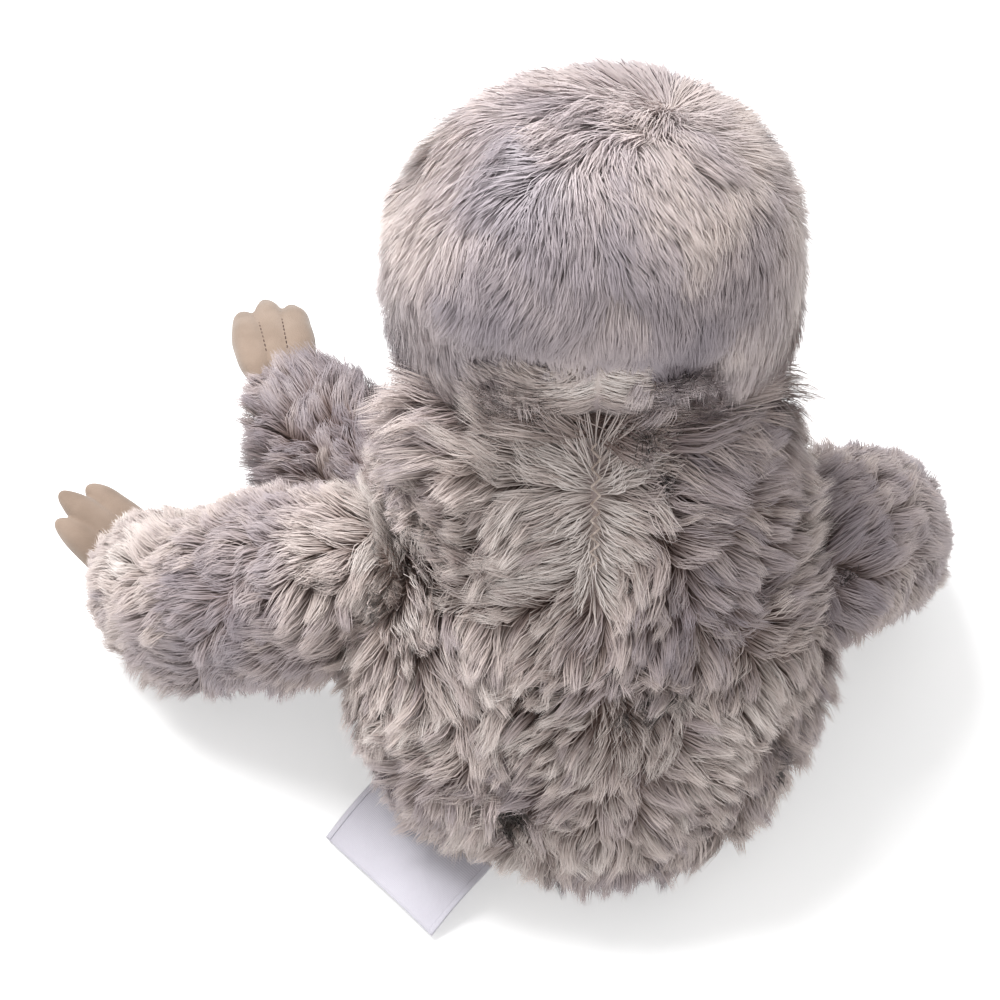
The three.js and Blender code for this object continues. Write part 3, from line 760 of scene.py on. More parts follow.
def ribbons(points, across, widths, tone, shown):
    """Verts, quads, tris and their map places for tapered ribbons through 4 points each."""
    n = len(points)
    half = across[:, None] * widths[:, :3, None] / 2
    sides = np.stack([points[:, :3] - half, points[:, :3] + half], 2).reshape(n, 6, 3)
    verts = np.concatenate([sides, points[:, 3:]], 1).reshape(-1, 3)
    base = 7 * np.arange(n)[:, None]
    quads = np.concatenate([base + np.array([0, 1, 3, 2]), base + np.array([2, 3, 5, 4])], 1)
    tris = base + np.array([4, 5, 6])
    left, right = tone - TONE_HALF_STEP, tone + TONE_HALF_STEP
    v = shown[:, None] + (1 - shown[:, None]) * LEVELS[None]

    def at(u, k):
        return np.stack([u, v[:, k]], -1)

    uvq = np.stack([at(left, 0), at(right, 0), at(right, 1), at(left, 1),
                    at(left, 1), at(right, 1), at(right, 2), at(left, 2)], 1)
    uvt = np.stack([at(left, 2), at(right, 2), at(tone, 3)], 1)
    return verts, quads.reshape(-1, 4), tris, uvq.reshape(-1, 4, 2), uvt


def grid_quads(rows, columns, closed=True):
    """Quads between rows + 1 rings of that many columns each."""
    last = columns if closed else columns - 1
    r, c = np.meshgrid(np.arange(rows), np.arange(last), indexing="ij")
    nxt = (c + 1) % columns
    return np.stack([r * columns + c, r * columns + nxt, (r + 1) * columns + nxt,
                     (r + 1) * columns + c], -1).reshape(-1, 4)


def skin_grid(form, inset, rows=44, columns=64):
    place = (1 - np.cos(np.pi * np.linspace(0, 1, rows + 1))) / 2
    angle = 2 * np.pi * np.arange(columns) / columns
    places, angles = np.meshgrid(place, angle, indexing="ij")
    return form.surface(places, angles, inset).reshape(-1, 3), grid_quads(rows, columns)


def tube(points, radius, around=12, plies=0, twist=0.0, ply_share=0.28):
    """Verts and quads of a round thread, or of a plied one whose strands wind about it."""
    points = np.asarray(points, float)
    along = unit(np.gradient(points, axis=0))
    side = unit(np.cross(along, TUBE_SIDE))
    other = np.cross(along, side)
    lengths = np.concatenate([[0], np.cumsum(np.linalg.norm(np.diff(points, axis=0), axis=1))])
    angle = 2 * np.pi * np.arange(around) / around
    wound = np.abs(np.cos(plies / 2 * (angle[None] - twist * lengths[:, None]))) if plies else 1.0
    thick = radius * (1 - ply_share + ply_share * wound) * np.ones((len(points), around))
    thick[[0, -1]] *= TUBE_END_SHARE
    ring = (side[:, None] * np.cos(angle)[None, :, None]
            + other[:, None] * np.sin(angle)[None, :, None])
    verts = points[:, None] + ring * thick[..., None]
    return verts.reshape(-1, 3), grid_quads(len(points) - 1, around)


# Materials
STREAK_SCALE = 300
STREAK_DARKEST = 0.88
BUMP_STRENGTH = 0.6
WEAVE_DISTORTION = 1.5
MOTTLE_SPOTS = (0.3, 0.7)
# Shares of the tone from root to tip over the root colour, which paints shade deep in the pile
ROOT_SHADE_BLEND = (0, 0.25, 0.75, 1)


def linear(colour):
    """Linear light from the usual red, green and blue of 0 to 255."""
    return tuple(((v / 255 + 0.055) / 1.055) ** 2.4 for v in colour)


def grey(value):
    return (value, value, value)


def ramp(nodes, stops):
    node = nodes.new("ShaderNodeValToRGB")
    elements = node.color_ramp.elements
    while len(elements) < len(stops):
        elements.new(0.5)
    for element, (place, colour) in zip(elements, stops):
        element.position = place
        element.color = (*colour, 1)
    return node


def noise(nodes, scale, detail):
    node = nodes.new("ShaderNodeTexNoise")
    node.inputs["Scale"].default_value = scale
    node.inputs["Detail"].default_value = detail
    return node


def colour_mix(nodes, blend_type="MIX"):
    node = nodes.new("ShaderNodeMix")
    node.data_type = "RGBA"
    node.blend_type = blend_type
    return node


def new_material(name, colour, roughness, specular=0.3, sheen=0.0, coat=0.0):
    made = bpy.data.materials.new(name)
    made.use_nodes = True
    shader = made.node_tree.nodes["Principled BSDF"]
    shader.inputs["Base Color"].default_value = (*colour, 1)
    shader.inputs["Roughness"].default_value = roughness
    shader.inputs["Specular IOR Level"].default_value = specular
    shader.inputs["Sheen Weight"].default_value = sheen
    shader.inputs["Coat Weight"].default_value = coat
    return made


def pile_material(name, tones, root, reach, roughness=0.48, specular=0.45, sheen=0.1):
    """Pile whose map runs across the tones of its strands and from root to tip, darkening into the
    root colour near the root as painted shade deep in the pile.
    """
    tones = [linear(tone) for tone in tones]
    made = new_material(name, tones[1], roughness, specular, sheen)
    nodes, links = made.node_tree.nodes, made.node_tree.links
    where = nodes.new("ShaderNodeUVMap")
    where.uv_map = "OFBake"
    split = nodes.new("ShaderNodeSeparateXYZ")
    links.new(where.outputs[0], split.inputs[0])
    tone = ramp(nodes, [(i / (len(tones) - 1), colour) for i, colour in enumerate(tones)])
    links.new(split.outputs["X"], tone.inputs[0])
    fine = noise(nodes, STREAK_SCALE, detail=2)
    fine.noise_dimensions = "1D"
    links.new(split.outputs["X"], fine.inputs["W"])
    streak = ramp(nodes, list(zip(MOTTLE_SPOTS, (grey(STREAK_DARKEST), grey(1)))))
    links.new(fine.outputs[0], streak.inputs[0])
    streaked = colour_mix(nodes, "MULTIPLY")
    streaked.inputs[0].default_value = 1
    links.new(tone.outputs[0], streaked.inputs[6])
    links.new(streak.outputs[0], streaked.inputs[7])
    # Painted shade: each strand darkens into the root colour towards its root
    climb = ramp(nodes, list(zip((0, reach / 2, reach, 1), map(grey, ROOT_SHADE_BLEND))))
    links.new(split.outputs["Y"], climb.inputs[0])
    mix = colour_mix(nodes)
    mix.inputs[6].default_value = (*linear(root), 1)
    links.new(climb.outputs[0], mix.inputs[0])
    links.new(streaked.outputs[2], mix.inputs[7])
    links.new(mix.outputs[2], nodes["Principled BSDF"].inputs["Base Color"])
    return made


def woven(nodes, links, where, height, weave):
    """Adds the waves of crossed threads to a height."""
    for way in ("X", "Z"):
        threads = nodes.new("ShaderNodeTexWave")
        threads.bands_direction = way
        threads.inputs["Scale"].default_value = weave
        threads.inputs["Distortion"].default_value = WEAVE_DISTORTION
        links.new(where, threads.inputs["Vector"])
        total = nodes.new("ShaderNodeMath")
        links.new(height, total.inputs[0])
        links.new(threads.outputs["Fac"], total.inputs[1])
        height = total.outputs[0]
    return height


def surfaced(name, dark, light, scale, roughness, bump_scale, bump, specular=0.3, sheen=0.0,
             coat=0.0, weave=0.0):
    """A material mottled between two colours, with a fine bump and, for cloth, a weave."""
    dark, light = linear(dark), linear(light)
    made = new_material(name, light, roughness, specular, sheen, coat)
    nodes, links = made.node_tree.nodes, made.node_tree.links
    shader = nodes["Principled BSDF"]
    where = nodes.new("ShaderNodeTexCoord").outputs["Object"]
    mottle = noise(nodes, scale, detail=4)
    links.new(where, mottle.inputs["Vector"])
    colour = ramp(nodes, list(zip(MOTTLE_SPOTS, (dark, light))))
    links.new(mottle.outputs[0], colour.inputs[0])
    links.new(colour.outputs[0], shader.inputs["Base Color"])
    grain = noise(nodes, bump_scale, detail=3)
    links.new(where, grain.inputs["Vector"])
    height = grain.outputs[0]
    if weave:
        height = woven(nodes, links, where, height, weave)
    relief = nodes.new("ShaderNodeBump")
    relief.inputs["Strength"].default_value = BUMP_STRENGTH
    relief.inputs["Distance"].default_value = bump
    links.new(height, relief.inputs["Height"])
    links.new(relief.outputs[0], shader.inputs["Normal"])
    return made


# Materials by the name of their slot: piles by tones and by the root colour of their painted
# shade, others by dark and light colour
PILES = {
    "long_pile": ([(178, 168, 175), (210, 197, 198), (235, 221, 215), (253, 244, 239)],
                  (104, 76, 63), 0.8),
    "face_pile": ([(214, 196, 172), (230, 214, 194), (246, 236, 222)], (168, 146, 122), 0.35),
    "patch_pile": ([(74, 56, 48), (92, 72, 62), (112, 90, 78)], (38, 28, 24), 0.35),
}
SURFACES = {
    "claw_cloth": dict(dark=(144, 125, 110), light=(166, 146, 131), scale=90, roughness=0.85,
                       bump_scale=2600, bump=0.0003, sheen=0.4),
    "filling": dict(dark=(226, 222, 214), light=(246, 244, 240), scale=160, roughness=0.95,
                    bump_scale=900, bump=0.0012, sheen=0.5),
    "bag_cloth": dict(dark=(206, 192, 168), light=(228, 216, 196), scale=70, roughness=0.9,
                      bump_scale=1500, bump=0.0002, weave=900),
    "eye_plastic": dict(dark=(10, 8, 8), light=(24, 18, 16), scale=200, roughness=0.12,
                        bump_scale=1200, bump=0.00001, specular=0.5, coat=1.0),
    "nose_plastic": dict(dark=(28, 20, 17), light=(46, 34, 29), scale=260, roughness=0.36,
                         bump_scale=2400, bump=0.00008, specular=0.45),
    "washer_plastic": dict(dark=(222, 222, 218), light=(238, 238, 236), scale=150,
                           roughness=0.45, bump_scale=1800, bump=0.00003),
    "dark_thread": dict(dark=(58, 42, 35), light=(88, 66, 56), scale=900, roughness=0.65,
                        bump_scale=4000, bump=0.0001, sheen=0.2),
    "pale_thread": dict(dark=(150, 132, 122), light=(214, 200, 190), scale=700, roughness=0.6,
                        bump_scale=4000, bump=0.0001, sheen=0.2),
    "label_satin": dict(dark=(208, 205, 215), light=(221, 218, 228), scale=45, roughness=0.38,
                        bump_scale=1400, bump=0.00006, specular=0.5, sheen=0.2, weave=1600),
}
looks = {slot: pile_material(slot, *settings) for slot, settings in PILES.items()}
looks.update({slot: surfaced(slot, **settings) for slot, settings in SURFACES.items()})


# Furred panels
def body_panel(p):
    rear = (p[:, 1] + SIDE_SEAM_FORWARD) * BODY_HEIGHT + p[:, 2] * BODY_LEAN > 0
    names = np.where(rear, np.where(p[:, 0] > 0, "torso_back_left", "torso_back_right"),
                     "torso_belly")
    return np.where(p[:, 2] < BASE_SEAM_HEIGHT, "torso_base", names)


def head_panel(p):
    rear = p[:, 1] > HEAD_SEAM_BEHIND - HEAD_FORWARD
    return np.where(rear, np.where(p[:, 0] > 0, "head_back_left", "head_back_right"),
                    "head_front")


def limb_panel(name, form):
    start = form.spine(np.array(0.0))[0]
    return lambda p: np.where((p - start) @ form.plane > 0, name + "_outer_panel",
                              name + "_inner_panel")


def furred(panel_of, body_name, strands, skin, quads, slot, coat, trim=None):
    """One piece per panel: its skin, dark with painted shade, and the strands that grow from it.
    """
    root, points, across, widths, tones, shown, upright = strands
    skin[:, 2] = np.maximum(skin[:, 2], FLOOR_GAP)
    face_panel, root_panel = panel_of(skin[quads].mean(1)), panel_of(root)
    for panel in sorted(set(face_panel)):
        if panel == "":
            continue
        mine = root_panel == panel
        verts, q, t, uvq, uvt = ribbons(points[mine], across[mine], widths[mine], tones[mine],
                                      shown[mine])
        used, faces = np.unique(quads[face_panel == panel], return_inverse=True)
        faces = faces.reshape(-1, 4)
        spots = skin[used]
        # Painted shade: the skin takes the pile's dark root colour, standing for the shade between
        # strands
        flat = np.stack([SKIN_TONE + SKIN_TONE_SPREAD * tone_near(spots),
                         SKIN_SHOWN + SKIN_SHOWN_SPAN * root_shown(spots, coat, trim)], -1)
        soft = shading_normals(points[mine], across[mine], upright[mine], coat["softness"])
        piece = make_mesh(panel + "_fur", np.concatenate([spots, verts]),
                          np.concatenate([faces, q + len(spots)]), t + len(spots),
                          np.concatenate([flat[faces], uvq]), uvt, slot,
                          np.concatenate([0 * spots, soft]))
        declared(piece, body_name, slot, panel, fill=PILE_FILL)


def outside(others, slack):
    """Keeps roots that don't lie deep inside other forms."""
    def keep(p):
        kept = np.ones(len(p), bool)
        for other in others:
            kept &= depth_in(other, p, SKIN_INSET) < slack
        return kept
    return keep


def face_span(p):
    """Below 1 inside the face opening."""
    return np.sqrt((p[:, 0] / (FACE_WIDTH / 2)) ** 2
                   + ((p[:, 2] - FACE_MIDDLE) / (FACE_HEIGHT / 2)) ** 2)


def in_face(p):
    return (face_span(p) < 1) & (p[:, 1] < -HEAD_FORWARD)


# Trims, in the rows of trimmed: what each zone does where its share is 1
SEAM_TRIM = (-0.4, 26, 0.6, 1, 0)
SEAM_TRIM_WIDTH = 0.0045
SEAM_TRIM_FLARE = 0.005
SEAM_FLARE_BAND = (0.125, 0.02)
SEAM_TRIM_FADE = 0.014
NECK_TRIM = (0.8, -2, 0.2, 0, 0)
NECK_BAND = (0.134, 0.016)
# Crown: flatter, partly tousled, and paler with painted light
CROWN_TRIM = (0, 8, 0.12, 0, 0.25)
CROWN_SETBACK = 0.014
CROWN_MIDDLE = CROWN + np.array([0, CROWN_SETBACK, 0])
CROWN_REACH = 0.024
# Pile hanging over the crease: flatter, with a little painted shade in its tone
HANG_TRIM = (0, 6, -0.1, 0, 0)
HANG_HEIGHT = 0.016
HANG_HALF_WIDTH = 0.030
# Painted shade in the crease of the nape: a darker tone
CREASE_SHADE_TRIM = (0, 0, -0.5, 0, 0)
CREASE_SHADE_HEIGHT = 0.006
CREASE_SHADE_WIDTH = 0.022
# Pile under the crease: steeper, and paler with painted light
NAPE_TRIM = (0, -8, 0.12, 0, 0)
NAPE_SEAM_TRIM = (0, 22, 0.4, 1, 0)
NAPE_SEAM_WIDTH = 0.011
LEG_SIDE_TRIM = (0.2, -6, 0, 0, 0)
LEG_SIDE_BAND = (0.05, 0.03)
RIM_WIDTH = 0.25
RIM_CUT = 0.45
HANG_CUT = 0.45
HANG_CUT_SPREAD = 0.25
CREASE_CUT = 0.6
CROWN_CUT = 0.15
NAPE_SEAM_CUT = 0.45


def body_trim(p):
    """Shorter, flatter, paler and combed pile along the closing seam; longer under the head."""
    x, y, z = p.T
    near = bell(x, SEAM_TRIM_WIDTH + SEAM_TRIM_FLARE * rise(z, *SEAM_FLARE_BAND)) * (y > 0)
    near = near * rise(z, PARTING_BOTTOM, SEAM_TRIM_FADE)
    return trimmed((near, SEAM_TRIM), (rise(z, *NECK_BAND), NECK_TRIM))


def head_trim(p):
    """Shorter pile round the face, at the crown and over the crease, combed pile at its seam;
    painted shade in the crease and over it, painted light on the crown and under the crease.
    """
    x, y, z = p.T
    behind, low = y > -HEAD_FORWARD, below_crease(p)
    rim = np.where(y < -HEAD_FORWARD, bell(face_span(p) - 1, RIM_WIDTH), 0)
    # Where the crease's painted shade falls
    crease = (bell(z - CREASE_HEIGHT, CREASE_SHADE_HEIGHT) * bell(x, CREASE_SHADE_WIDTH)
              * behind)
    hang = rise(CREASE_HEIGHT + HANG_HEIGHT, z, HANG_HEIGHT) * behind * (1 - low)
    hang = hang * bell(x, HANG_HALF_WIDTH)
    near = bell(x, NAPE_SEAM_WIDTH) * low
    crown = np.exp(-((p - CROWN_MIDDLE) ** 2).sum(-1) / CROWN_REACH ** 2)
    total = trimmed((crown, CROWN_TRIM), (hang, HANG_TRIM), (crease * (1 - near), CREASE_SHADE_TRIM),
                    (low, NAPE_TRIM), (near, NAPE_SEAM_TRIM))
    hang_cut = HANG_CUT + HANG_CUT_SPREAD * nape_ragged(p)
    for share, cut in ((rim, RIM_CUT), (hang, hang_cut), (crease, CREASE_CUT),
                       (crown, CROWN_CUT), (near, NAPE_SEAM_CUT)):
        total[0] *= 1 - cut * share
    return total


def leg_trim(p):
    """Longer pile on the outer side of the leg."""
    return trimmed((rise(np.abs(p[:, 0]), *LEG_SIDE_BAND), LEG_SIDE_TRIM))


HEAD_COAT = {**COAT, "length": 0.0135, "lean": (46, 84), "tone": 0.36, "sway": 0.4,
             "softness": 0.9, "tuft_pull": 0.25, "lock_pull": 0.5, "tuft_loose": 1.3,
             "lock_loose": 1.3, "fan_strength": 0.25, "fan": 0.034, "parting_shade": 0,
             "lift": 9, "tilt": 0.12, "root_show": 0.9, "strand_tone": 0.02, "lock_tone": 0.04,
             "inset": HEAD_INSET, "density": 4.4e6, "lock": 0.0032, "wide_tone": 0.22,
             "width": 0.00023, "fray": 0.0002}
LIMB_COAT = {**COAT, "length": 0.0126, "lean": (32, 78), "sway": 0.4, "lock_pull": 0.8,
             "tone": 0.42, "fan_strength": 0.6, "root_show": 0.2, "tuft_loose": 1.8,
             "lock_loose": 1.7, "softness": 0.45, "lock_tone": 0.1, "strand_tone": 0.05,
             "fray": 0.0003}
# Legs take a lower tone than the arms, as painted shade
LEG_COAT = {**LIMB_COAT, "length": 0.0124, "tone": 0.2, "root_show": 0.0, "lean": (24, 72),
            "lock_pull": 0.88, "tuft_loose": 2.2, "lock_loose": 2.0, "softness": 0.2,
            "lock_tone": 0.12, "strand_tone": 0.06}
HEAD_ROWS = 88
HEAD_COLUMNS = 128
SUNK = 0.008
HEAD_SUNK = 0.006
SEEDS = {"torso": 100, "head": 200, "limb": 300, "mask": 700, "patch": 740}
SEED_STEP = 20


def clear_head(p):
    return outside([body], HEAD_SUNK)(p) & ~in_face(p)


def head_piece_of(p):
    return np.where(in_face(p), "", head_panel(p))


strands = grow(body, body_flow, SEEDS["torso"], COAT, outside([*limbs.values(), head], SUNK),
               body_trim)
furred(body_panel, "torso", strands, *skin_grid(body, SKIN_INSET), "long_pile", COAT,
       body_trim)
strands = grow(head, head_flow, SEEDS["head"], HEAD_COAT, clear_head, head_trim)
furred(head_piece_of, "head", strands, *skin_grid(head, HEAD_INSET, HEAD_ROWS, HEAD_COLUMNS),
       "long_pile", HEAD_COAT, head_trim)
for number, (name, form) in enumerate(limbs.items()):
    coat, trim = (LEG_COAT, leg_trim) if "leg" in name else (LIMB_COAT, None)
    strands = grow(form, limb_flow(form), SEEDS["limb"] + SEED_STEP * number, coat,
                   outside([body], SUNK), trim)
    furred(limb_panel(name, form), name, strands, *skin_grid(form, SKIN_INSET), "long_pile",
           coat, trim)


# Face: a mask of short pile with dark patches, snapped eyes and nose, and a sewn mouth
TUCKED_BAND = (0.93, 0.07)
TUCK_DEPTH = 0.002
PILE_OVAL_SHARE = 0.985
MASK_DROOP = 0.25
BARE_ON_MASK = 0.8
BARE_ON_PATCH = 0.85
PATCH_SKIN_DROP = 0.0008
NAP = {**COAT, "density": 9e6, "length": 0.0034, "lean": (30, 62), "sway": 0.5,
       "width": 0.00020, "inset": 0.0064, "lock": 0.0016, "tuft": 0.005, "lock_pull": 0.3,
       "tuft_pull": 0.3, "fan_strength": 0.25, "fan": 0.012, "parting_shade": 0.05,
       "wide_tone": 0.15}
PATCH_NAP = {**NAP, "length": 0.0024, "inset": FACE_PILE_DROP - PATCH_THICKNESS + PATCH_SKIN_DROP,
             "lean": (24, 58)}


def oval_share(p, oval):
    """Below 1 inside an oval on the face: its x, z, breadth, height and slant in degrees."""
    x, z, breadth, height, slant = oval
    a = math.radians(slant)
    dx, dz = p[:, 0] - x, p[:, 2] - z
    along, up = dx * math.cos(a) - dz * math.sin(a), dx * math.sin(a) + dz * math.cos(a)
    return np.sqrt((along / (breadth / 2)) ** 2 + (up / (height / 2)) ** 2)


def oval_skin(oval, inset, rings=26, around=72):
    """Skin of an oval patch on the front of the head, tucked in at its edge."""
    x, z, breadth, height, slant = oval
    a = math.radians(slant)
    share = np.linspace(0, 1, rings + 1)[:, None]
    turn = (2 * np.pi * np.arange(around) / around)[None]
    along, up = share * np.cos(turn) * breadth / 2, share * np.sin(turn) * height / 2
    px = x + along * math.cos(a) + up * math.sin(a)
    pz = z - along * math.sin(a) + up * math.cos(a)
    skin = face_surface(px.ravel(), pz.ravel(), inset)
    skin[:, 1] += np.repeat(rise(share[:, 0], *TUCKED_BAND), around) * TUCK_DEPTH
    return skin, grid_quads(rings, around)


def face_piece(node, oval, coat, slot, seed, bare):
    """A piece of short pile on the face, with bare places where others sit on it."""
    def keep(p):
        kept = (oval_share(p, oval) < PILE_OVAL_SHARE) & (p[:, 1] < -HEAD_FORWARD)
        for x, z, radius in bare:
            kept &= np.hypot(p[:, 0] - x, p[:, 2] - z) > radius
        return kept
    furred(lambda p: np.full(len(p), node), "head", grow(head, mask_flow, seed, coat, keep),
           *oval_skin(oval, coat["inset"]), slot, coat)


def mask_flow(p):
    """Away from the nose, with some droop."""
    out = np.stack([p[:, 0], 0 * p[:, 0], p[:, 2] - (FACE_MIDDLE - NOSE_DROP)], -1)
    return unit(out) + np.array([0, 0, -MASK_DROOP])


eyes = [(side * EYE_SPACING / 2, FACE_MIDDLE + EYE_RISE) for side in (-1, 1)]
nose_place = (0, FACE_MIDDLE - NOSE_DROP)
bare_places = [(*eye, EYE_RADIUS * BARE_ON_MASK) for eye in eyes]
bare_places.append((*nose_place, NOSE_RADIUS * BARE_ON_MASK))
face_piece("face_mask", (0, FACE_MIDDLE, FACE_WIDTH, FACE_HEIGHT, 0), NAP, "face_pile",
           SEEDS["mask"], bare_places)


def lathe(name, seat, profile, width_share, slot, around=48):
    """A turned piece whose axis leaves the face at its seat."""
    profile = np.array(profile)
    angle = 2 * np.pi * np.arange(around) / around
    verts = np.stack([profile[:, :1] * np.cos(angle) * width_share,
                      np.repeat(profile[:, 1:], around, 1),
                      profile[:, :1] * np.sin(angle)], -1).reshape(-1, 3)
    point, normal = seat
    turn = Vector((0, 1, 0)).rotation_difference(Vector(normal)).to_matrix()
    verts = verts @ np.array(turn).T + point
    return plain_mesh(name, verts, grid_quads(len(profile) - 1, around), slot)


RIM_FOOT_SHARE = 0.9
RIM_SHARE = 0.985
RIM_LIFT_SHARE = 1.4
DOME_START = 0.12
DOME_STEPS = 18
SHANK_TIP_SHARE = 0.8


def dome(radius, height):
    """Profile of a domed cap with a rolled rim that stands on its seat."""
    rim = [(radius * RIM_FOOT_SHARE, SEAM_GAP), (radius * RIM_SHARE, SEAM_GAP * RIM_LIFT_SHARE)]
    angles = np.linspace(DOME_START, np.pi / 2, DOME_STEPS)[:-1]
    cap = [(radius * math.cos(a), SEAM_GAP + height * math.sin(a)) for a in angles]
    return rim + cap + [(0, SEAM_GAP + height)]


def snap_piece(name, seat, radius, height, depth, width_share, slot):
    shank = [(0, -depth), (SHANK_RADIUS * SHANK_TIP_SHARE, -depth),
             (SHANK_RADIUS, -depth + SEAM_GAP), (SHANK_RADIUS, SEAM_GAP)]
    piece = lathe(name + "_cap", seat, shank + dome(radius, height), width_share, slot)
    declared(piece, "head", slot, name)


def washer(name, seat, high):
    bore = SHANK_RADIUS * NOSE_WIDTH_SHARE + SEAM_GAP
    low, lip = high - WASHER_THICKNESS, WASHER_THICKNESS / 4
    profile = [(bore, low), (WASHER_RADIUS - lip, low), (WASHER_RADIUS, low + lip),
               (WASHER_RADIUS, high - lip), (WASHER_RADIUS - lip, high), (bore, high), (bore, low)]
    piece = lathe(name + "_ring", seat, profile, 1, "washer_plastic")
    declared(piece, "head", "washer_plastic", name)


MASK_THICKNESS = PILE_THICKNESS - FACE_PILE_DROP
under_nose = MASK_THICKNESS + WASHER_SETBACK
under_eye = PATCH_THICKNESS + SEAM_GAP + under_nose
behind_washer = WASHER_THICKNESS + SHANK_TAIL
for number, (x, z) in enumerate(eyes):
    side, name = (1, "left_eye") if x > 0 else (-1, "right_eye")
    seat = face_seat(x, z, FACE_PILE_DROP - SEAM_GAP - PATCH_THICKNESS)
    patch = (x + side * PATCH_OUTWARD, z - PATCH_LOWERING, PATCH_LENGTH, PATCH_BREADTH,
             side * PATCH_SLANT_ANGLE)
    face_piece(name + "_patch", patch, PATCH_NAP, "patch_pile",
               SEEDS["patch"] + SEED_STEP * number, [(x, z, EYE_RADIUS * BARE_ON_PATCH)])
    snap_piece(name, seat, EYE_RADIUS, EYE_HEIGHT, under_eye + behind_washer, 1,
               "eye_plastic")
    washer(name + "_washer", seat, -under_eye)

nose_seat = face_seat(*nose_place, FACE_PILE_DROP)
snap_piece("nose", nose_seat, NOSE_RADIUS, NOSE_HEIGHT, under_nose + behind_washer,
           NOSE_WIDTH_SHARE, "nose_plastic")
washer("nose_washer", nose_seat, -under_nose)

MOUTH_SAMPLES = 60
MOUTH_SIDES = 16
MOUTH_PLIES = 3
MOUTH_TWIST = 1400
mouth_share = np.linspace(-1, 1, MOUTH_SAMPLES)
mouth_z = FACE_MIDDLE - MOUTH_DROP + MOUTH_RISE * mouth_share ** 2
mouth = face_surface(mouth_share * MOUTH_WIDTH / 2, mouth_z, FACE_PILE_DROP)
mouth_yarn = plain_mesh(
    "mouth_yarn", *tube(mouth, MOUTH_THREAD_RADIUS, MOUTH_SIDES, MOUTH_PLIES, MOUTH_TWIST),
    "dark_thread")
declared(mouth_yarn, "head", "dark_thread", "mouth_stitch")


# Claws: three stuffed fingers grown together in one mitt, with a row of stitches between them
def claw_frame(name, form):
    direction = unit(np.array(CLAW_SHARES[name]))
    across = unit(np.cross(direction, [0, 0, 1.0]))
    over = np.cross(across, direction)
    base = form.spine(np.array(1.0))[0] - direction * CLAW_SINK
    return direction, across, over, base


def finger_form(start, direction, over, length):
    middle = start + direction * length / 2 + over * CLAW_CURL
    tip = start + direction * length
    across = unit(np.cross(direction, over))

    def spine(place):
        t = np.asarray(place)[..., None]
        return (bezier_point(start, middle, tip, t), across,
                unit(np.cross(across, bezier_tangent(start, middle, tip, t))))

    return Form(length, FINGER_RADIUS, FINGER_RADIUS * FINGER_THICKNESS_SHARE, FINGER_SHARES,
                FINGER_SHARES, ROUND_POWER, ROUND_POWER, spine)


FINGER_RINGS = 36
FINGER_SIDES = 40
CLAW_LUMP = 0.0002
CLAW_FILL = 0.6
CLAW_STITCH_PLACES = np.arange(0.26, 0.88, 0.05)
CLAW_STITCH_HALF = 0.021
CLAW_STITCH_CLEAR = 0.00005
CLAW_STITCH_BOW = 0.0002
CLAW_STITCH_RADIUS = 0.00018
CLAW_STITCH_SAMPLES = 7
CLAW_STITCH_SIDES = 8
LARGEST_GAP_SHARE = 0.999
claw_lumps = wave_field(seed=31, scale=0.006)


def joined(parts):
    """One list of verts and faces from several."""
    verts, faces, count = [], [], 0
    for part_verts, part_faces in parts:
        verts.append(part_verts)
        faces.append(part_faces + count)
        count += len(part_verts)
    return np.concatenate(verts), np.concatenate(faces)


def claw_mitt(name, form):
    direction, across, over, base = claw_frame(name, form)
    fingers = []
    for step in (-1, 0, 1):
        fan = unit(direction + across * step * CLAW_FAN_SHARE)
        length = CLAW_LENGTH * (1 if step == 0 else OUTER_FINGER_SHARE)
        fingers.append(finger_form(base + across * step * FINGER_SPACING, fan, over, length))
    skins = joined([skin_grid(finger, 0, FINGER_RINGS, FINGER_SIDES) for finger in fingers])
    mitt = plain_mesh(name + "_claw_mitt", *skins, "claw_cloth")
    pushed(remeshed(mitt, CLAW_VOXEL, CLAW_SMOOTHING), lambda p: CLAW_LUMP * claw_lumps(p))
    for vertex in mitt.data.vertices:
        vertex.co.z = max(vertex.co.z, FLOOR_GAP)
    declared(mitt, name, "claw_cloth", name + "_claws", fill=CLAW_FILL)
    claw_stitches(name, fingers, over)


def groove_place(one, other, place, over):
    """A point on the skin where two fingers of a mitt meet, on the side that over points to."""
    a, b = one.ring(np.array(place), 0), other.ring(np.array(place), 0)
    gap = min(np.linalg.norm(a[0] - b[0]) / 2 / a[3], LARGEST_GAP_SHARE)
    deep = a[4] * (1 - gap ** SECTION_POWER) ** (1 / SECTION_POWER)
    return (a[0] + b[0]) / 2 + over * (deep + CLAW_STITCH_CLEAR)


def claw_stitches(name, fingers, over):
    """Short stitches sunk in both grooves of a mitt, on its upper and under sides."""
    bow = CLAW_STITCH_BOW * np.sin(np.linspace(0, np.pi, CLAW_STITCH_SAMPLES))[:, None]
    stitches = []
    for pair in (fingers[:2], fingers[1:]):
        for side in (-1, 1):
            for place in CLAW_STITCH_PLACES:
                ends = [groove_place(*pair, place + end, over * side)
                        for end in (-CLAW_STITCH_HALF, CLAW_STITCH_HALF)]
                path = np.linspace(*ends, CLAW_STITCH_SAMPLES) + over * side * bow
                stitches.append(tube(path, CLAW_STITCH_RADIUS, CLAW_STITCH_SIDES))
    verts, faces = joined(stitches)
    verts[:, 2] = np.maximum(verts[:, 2], FLOOR_GAP)
    piece = plain_mesh(name + "_claw_stitches", verts, faces, "dark_thread")
    declared(piece, name, "dark_thread")


for name, form in limbs.items():
    claw_mitt(name, form)


# Sewn label: a bare satin strip with hemmed ends
LABEL_SAG = 0.0010
LABEL_WAVES = 5.2
LABEL_WAVE_START = 0.7
LABEL_ROWS = 30
LABEL_COLUMNS = 56
HEM_COLUMNS = 4
HEM_THICKNESS_SHARE = 1.8


